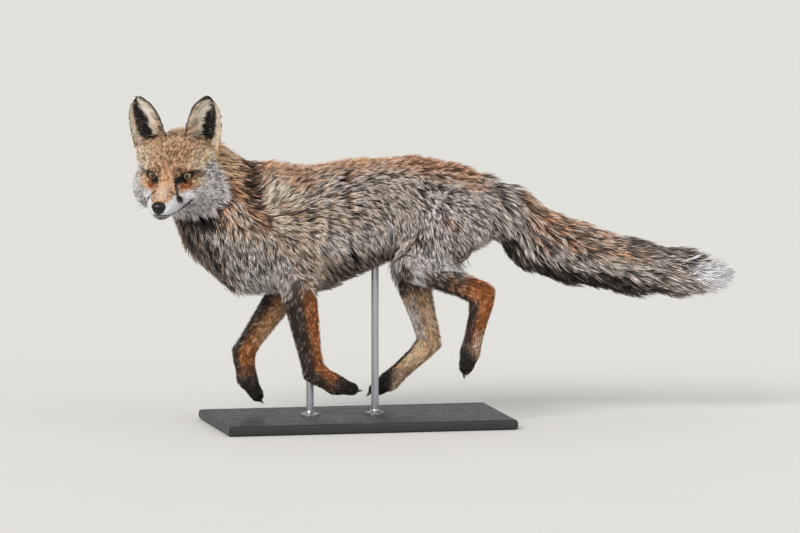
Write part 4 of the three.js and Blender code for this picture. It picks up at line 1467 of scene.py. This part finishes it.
# %% Growing the coat
THIN = 1
fur = Paint("fur", Roughness=0.62, Specular_IOR_Level=0.35)
on_map = fur.add("ShaderNodeUVMap", {"uv_map": MAP})
strands = fur.add("ShaderNodeVectorMath", {"operation": "MULTIPLY"}, on_map, (1900.0, 260.0, 0.0))
strand = fur.add("ShaderNodeTexNoise", None, Vector=strands, Scale=1.0, Detail=1.0)
shade = fur.mix(fur.ramp(strand, 0.35, 0.65), (0.80, 0.79, 0.78, 1), (1.16, 1.16, 1.16, 1))
fur.wear(Base_Color=fur.mix(1.0, fur.attribute("markings"), shade, "MULTIPLY"))


def region(*words):
    return is_one_of(skin_solid, *words).astype(float)


face_skin = region("head", "jaw")
ear_locks = from_inner_edge * soft_step(-0.75, -0.5, ear_across)
COAT = {
    "coat_neck": (region("neck"), 12000, {"rings": 3}),
    "coat_shoulders": (region("chest", "upper"), 19000, {}),
    "coat_flanks": (region("belly"), 16000, {}),
    "coat_haunches": (region("rump", "thigh"), 19500, {}),
    "coat_tail": (region("tail"), 12000, {"rings": 3, "clump": 5, "stray": 0.13, "locks": 0.7}),
    "coat_face": (face_skin * (head_place[:, 0] > -25), 17000, {"clump": 5, "pull": 0.25}),
    "coat_crown": (face_skin * (head_place[:, 0] <= -22), 13000, {"clump": 6, "pull": 0.3}),
    "coat_ears": (region("ear_"), 7000, {"clump": 6, "pull": 0.3, "seen": 0.1}),
    "coat_ear_locks": (ear_locks, 900, {"rings": 3, "longer": 1.35, "stray": 0.25, "seen": 0.0}),
    "coat_forelegs": (region("fore") * ~is_one_of(skin_solid, "upper"), 8500, {"clump": 6, "pull": 0.3}),
    "coat_hindlegs": (region("hind") * ~is_one_of(skin_solid, "thigh"), 9500, {"clump": 6, "pull": 0.3}),
}
coat_pieces = []
for number, (name, (where, count, settings)) in enumerate(COAT.items()):
    coat_pieces.append(grow(name, where, count // THIN, seed=11 + number, **settings))
    dress(coat_pieces[-1], fur)
print({piece.name: len(piece.data.polygons) for piece in coat_pieces})

# %% [markdown]
# ## Eyes
#
# Each eye is a smooth ball with a slightly raised cornea. Every point of it knows how far it lies from the
# eye's axis, across and up, and the paint uses that: an upright oval pupil, a pale amber iris with fine
# spokes, and a dark ring round it. A clear coat gives the wet shine.

# %% The eyeballs
GAZE = {"left": (1.0, 0.15, 0.07), "right": (1.0, -0.01, 0.07)}  # ahead, to the fox's left, up
IRIS = 7.4  # radius
iris_paint = Paint("eye", Roughness=0.25, Specular_IOR_Level=0.2, Coat_Weight=0.5, Coat_Roughness=0.03)
spot_on_iris = iris_paint.attribute("on the iris", "Vector")
across_iris = iris_paint.add("ShaderNodeSeparateXYZ", None, spot_on_iris)
up_iris = Value(iris_paint, across_iris.socket.node.outputs[1])
squares = across_iris * across_iris + up_iris * up_iris
from_axis = squares.math("SQRT", squares)
slit = (across_iris * across_iris) / 5.5 + (up_iris * up_iris) / 9.5
spokes = iris_paint.add("ShaderNodeVectorMath", {"operation": "NORMALIZE"}, spot_on_iris)
spoke_noise = iris_paint.add("ShaderNodeTexNoise", None, Vector=spokes, Scale=14.0, Detail=2.0)
amber = iris_paint.mix(spoke_noise, rgba((0.32, 0.25, 0.17)), rgba((0.66, 0.57, 0.44)))
amber = iris_paint.mix(iris_paint.ramp(from_axis, 5.2, 6.6), amber, rgba((0.20, 0.13, 0.08)))
amber = iris_paint.mix(iris_paint.ramp(from_axis, 6.5, 7.2), amber, rgba((0.03, 0.02, 0.015)))
amber = iris_paint.mix(iris_paint.ramp(slit, 0.85, 1.25), rgba((0.01, 0.008, 0.008)), amber)
iris_paint.wear(Base_Color=amber)


def eyeball(side):
    bpy.ops.mesh.primitive_uv_sphere_add(segments=72, ring_count=48, radius=EYE_RADIUS * MM)
    ball = bpy.context.object
    ball.name = ball.data.name = "eyeball_" + side
    centre, _ = eye_frame(side)
    axis = unit(np.array(GAZE[side]))
    across = unit(np.cross((0, 0, 1), axis))
    up = np.cross(axis, across)
    own = points_of(ball.data) / MM
    off_axis = np.hypot(own[:, 0], own[:, 1])
    cornea = 0.8 * np.clip(1 - (off_axis / (IRIS + 0.6)) ** 2, 0, 1) * (own[:, 2] > 0)
    own = unit(own) * (EYE_RADIUS + cornea)[:, None]
    in_head = centre + own[:, :1] * across + own[:, 1:2] * up + own[:, 2:] * axis
    move_points(ball.data, HEAD_START + in_head * MM @ HEAD_AXES)
    layer = ball.data.attributes.new("on the iris", "FLOAT_VECTOR", "POINT")
    write(layer.data, "vector", np.column_stack((own[:, :2], np.zeros(len(own)))))
    bpy.ops.object.shade_smooth()
    dress(ball, iris_paint)
    return ball


eyeballs = [eyeball(side) for side in SIDES]
print("eyes:", [ball.name for ball in eyeballs])

# %% [markdown]
# ## The nose
#
# The leather pad starts from its own solid, rebuilt in fine voxels and relaxed. Two nostrils are pressed in
# with a curl to the outside, and a groove runs down the middle to the lip.

# %% The nose pad
nose_pad = copied("nose", 0.0001)
nose_pad.name = nose_pad.data.name = "nose_pad"
apply(nose_pad, "REMESH", mode="VOXEL", voxel_size=0.0006, use_smooth_shade=True)
move_points(nose_pad.data, relaxed(points_of(nose_pad.data), edges_of(nose_pad.data), 20, 1.0))
pad_points = points_of(nose_pad.data)
pad = to_head(pad_points)
sideways = np.abs(pad[:, 1])
front = pad[:, 0].max()


def dent(forward, side, up, radii):
    far = (pad[:, 0] - forward) ** 2 / radii[0] ** 2
    far += (sideways - side) ** 2 / radii[1] ** 2 + (pad[:, 2] - up) ** 2 / radii[2] ** 2
    return np.exp(-far)


pressed_in = 3.4 * dent(front - 1, 4.6, -26.0, (6, 2.3, 2.4))
pressed_in += 2.4 * dent(front - 4, 8.2, -27.6, (6, 2.6, 1.2))
pressed_in += 0.9 * dent(front - 1, 0, -31.0, (7, 0.8, 5.5))
raised = 0.7 * dent(front - 1, 5.2, -22.0, (6, 3.6, 2.0)) + 0.5 * dent(front - 2, 7.6, -24.4, (6, 2.0, 1.6))
move_points(nose_pad.data, pad_points + (normals_of(nose_pad.data) * (raised - pressed_in)[:, None]) * MM)
leather = Paint("nose leather", Coat_Weight=0.25, Coat_Roughness=0.25, Specular_IOR_Level=0.3)
cells = leather.add("ShaderNodeTexVoronoi", None, Vector=leather.place(), Scale=1100.0)
tint = leather.mix(leather.noise(0.004), rgba((0.018, 0.016, 0.016)), rgba((0.045, 0.04, 0.04)))
leather.wear(Base_Color=tint, Roughness=leather.ramp(leather.noise(0.003), 0.3, 0.7, 0.32, 0.5))
leather.wear(Normal=leather.bump(cells, 0.0003, 0.45))
dress(nose_pad, leather)
print("nose pad:", len(nose_pad.data.vertices), "points, front at", front.round(1))

# %% [markdown]
# ## Whiskers
#
# Whiskers grow in rows from the dark spots behind the lips and bend back along the cheeks, with a few above
# the eyes. Each is one thin tapered rod.

# %% Growing the whiskers
def rods(name, starts, ways, bends, lengths, colour, rings=9, sides=5):
    """Tapered curved rods: each starts at a place, sets off one way and bends towards another."""
    t = np.linspace(0, 1, rings + 1)
    course = t[None, :, None] * ways[:, None] + (t**2)[None, :, None] * bends[:, None]
    paths = starts[:, None] + lengths[:, None, None] * MM * course
    slope = unit(np.gradient(paths, axis=1))
    side = unit(np.cross(slope, (0.13, 0.21, 0.97)))  # any way that no rod points
    up = np.cross(side, slope)
    thick = WHISKER_RADIUS * MM * (1 - 0.92 * t[:-1])[None, :, None, None]
    turn = (np.arange(sides) * 2 * math.pi / sides)[:, None]
    ring = np.cos(turn) * side[:, :-1, None] + np.sin(turn) * up[:, :-1, None]
    rounds = (paths[:, :-1, None] + thick * ring).reshape(len(starts), -1, 3)
    points = np.concatenate((rounds, paths[:, -1:]), axis=1)
    faces = [face[:1] + face[:0:-1] for face in lock_faces(rings, sides)]  # these rings turn the other way
    colours = np.tile(light(*colour), (len(starts), points.shape[1], 1))
    places = np.full((len(starts), 2), 0.5)
    return many_meshes(name, points, faces, places, np.zeros((points.shape[1], 2)), colours)


WHISKER_RADIUS = 0.26
WHISKER_SUNK = 0.0008  # how deep a root sticks in the skin, in metres
dice = np.random.default_rng(5)
grown = []


def whisker(spot, way, bend, length):
    """One whisker from the skin's nearest point; `way` is where it sets off, `bend` where it leans."""
    ground, outside, _, _ = skin_tree.find_nearest(tuple(from_head(*spot)))
    start = np.array(ground) - np.array(outside) * WHISKER_SUNK
    grown.append((start, unit(way) @ HEAD_AXES, np.array(bend) @ HEAD_AXES, length))


for side in SIGN.values():
    for row in range(3):
        for column in range(4):
            spot = (50 - 6.5 * column + 1.5 * row, side * 30, -27 - 4.0 * row)
            way = (0.15 - 0.25 * column, side * 0.9, 0.12 - 0.16 * row) + dice.normal(size=3) * 0.05
            bend = (-0.45, -side * 0.12, -0.16 - 0.06 * row)
            whisker(spot, way, bend, 24 + 5.5 * column + dice.random() * 5)
    for number in range(2):
        spot, way = (2 + 4 * number, side * 24, 13), np.array((0.6, side * 0.3, 0.9))
        whisker(spot, way, (-0.5, side * 0.1, 0.1), 17 + 4 * number)
parts = (np.array(values) for values in zip(*grown))
whiskers = rods("whiskers", *parts, (0.09, 0.075, 0.07))
bristle = Paint("bristle", Roughness=0.4)
bristle.wear(Base_Color=bristle.attribute("markings"))
dress(whiskers, bristle)
print("whiskers:", len(grown))

# %% [markdown]
# ## Claws and stand
#
# Claws and the stand keep their solids. Claws get dark horn with paler clouds, the board a painted finish
# with a slight grain, and the rods brushed steel.

# %% Finishes of the solids that stay
horn = Paint("claw horn")
horn_grain = horn.noise(0.0016, 4.0)
horn.wear(Base_Color=horn.mix(horn_grain, rgba((0.07, 0.06, 0.055)), rgba((0.20, 0.17, 0.15))))
horn.wear(Roughness=horn.ramp(horn_grain, 0.3, 0.7, 0.3, 0.45), Normal=horn.bump(horn_grain, 0.0002, 0.4))
board = Paint("painted board")
board_grain = board.noise(0.012, 5.0)
fine_grain = board.noise(0.0011, 2.0)
board.wear(Base_Color=board.mix(board_grain, rgba((0.135, 0.135, 0.14)), rgba((0.165, 0.165, 0.17))))
board.wear(Roughness=board.ramp(board_grain, 0.3, 0.7, 0.42, 0.55))
board.wear(Normal=board.bump(fine_grain, 0.0001, 0.25))
steel = Paint("brushed steel", Metallic=1.0)
stretched = steel.add("ShaderNodeVectorMath", {"operation": "MULTIPLY"}, steel.place(), (1.0, 1.0, 0.02))
brushed = steel.add("ShaderNodeTexNoise", None, Vector=stretched, Scale=2600.0, Detail=3.0)
steel.wear(Base_Color=steel.mix(brushed, rgba((0.66, 0.67, 0.68)), rgba((0.78, 0.78, 0.79))))
steel.wear(Roughness=steel.ramp(brushed, 0.3, 0.7, 0.28, 0.42), Normal=steel.bump(brushed, 0.00003, 0.3))
kept = {node: piece for node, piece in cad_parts.items() if node not in FLESH}
for node, piece in kept.items():
    if "claw" in node:
        dress(piece, horn)
    elif node == "stand_base":
        dress(piece, board)
    elif node.startswith("stand"):
        dress(piece, steel)
print("kept solids:", sorted(kept))

# %% [markdown]
# ## One body, and the solids that are replaced
#
# The model stands still, so every piece rides on its one body. The solids that the new pieces replace are
# hidden.

# %% Riders and replaced solids
for piece in (skin, *coat_pieces, *eyeballs, nose_pad, whiskers):
    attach(piece, "root")
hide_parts(*FLESH)
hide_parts("eye_left")
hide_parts("eye_right")
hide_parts("nose")
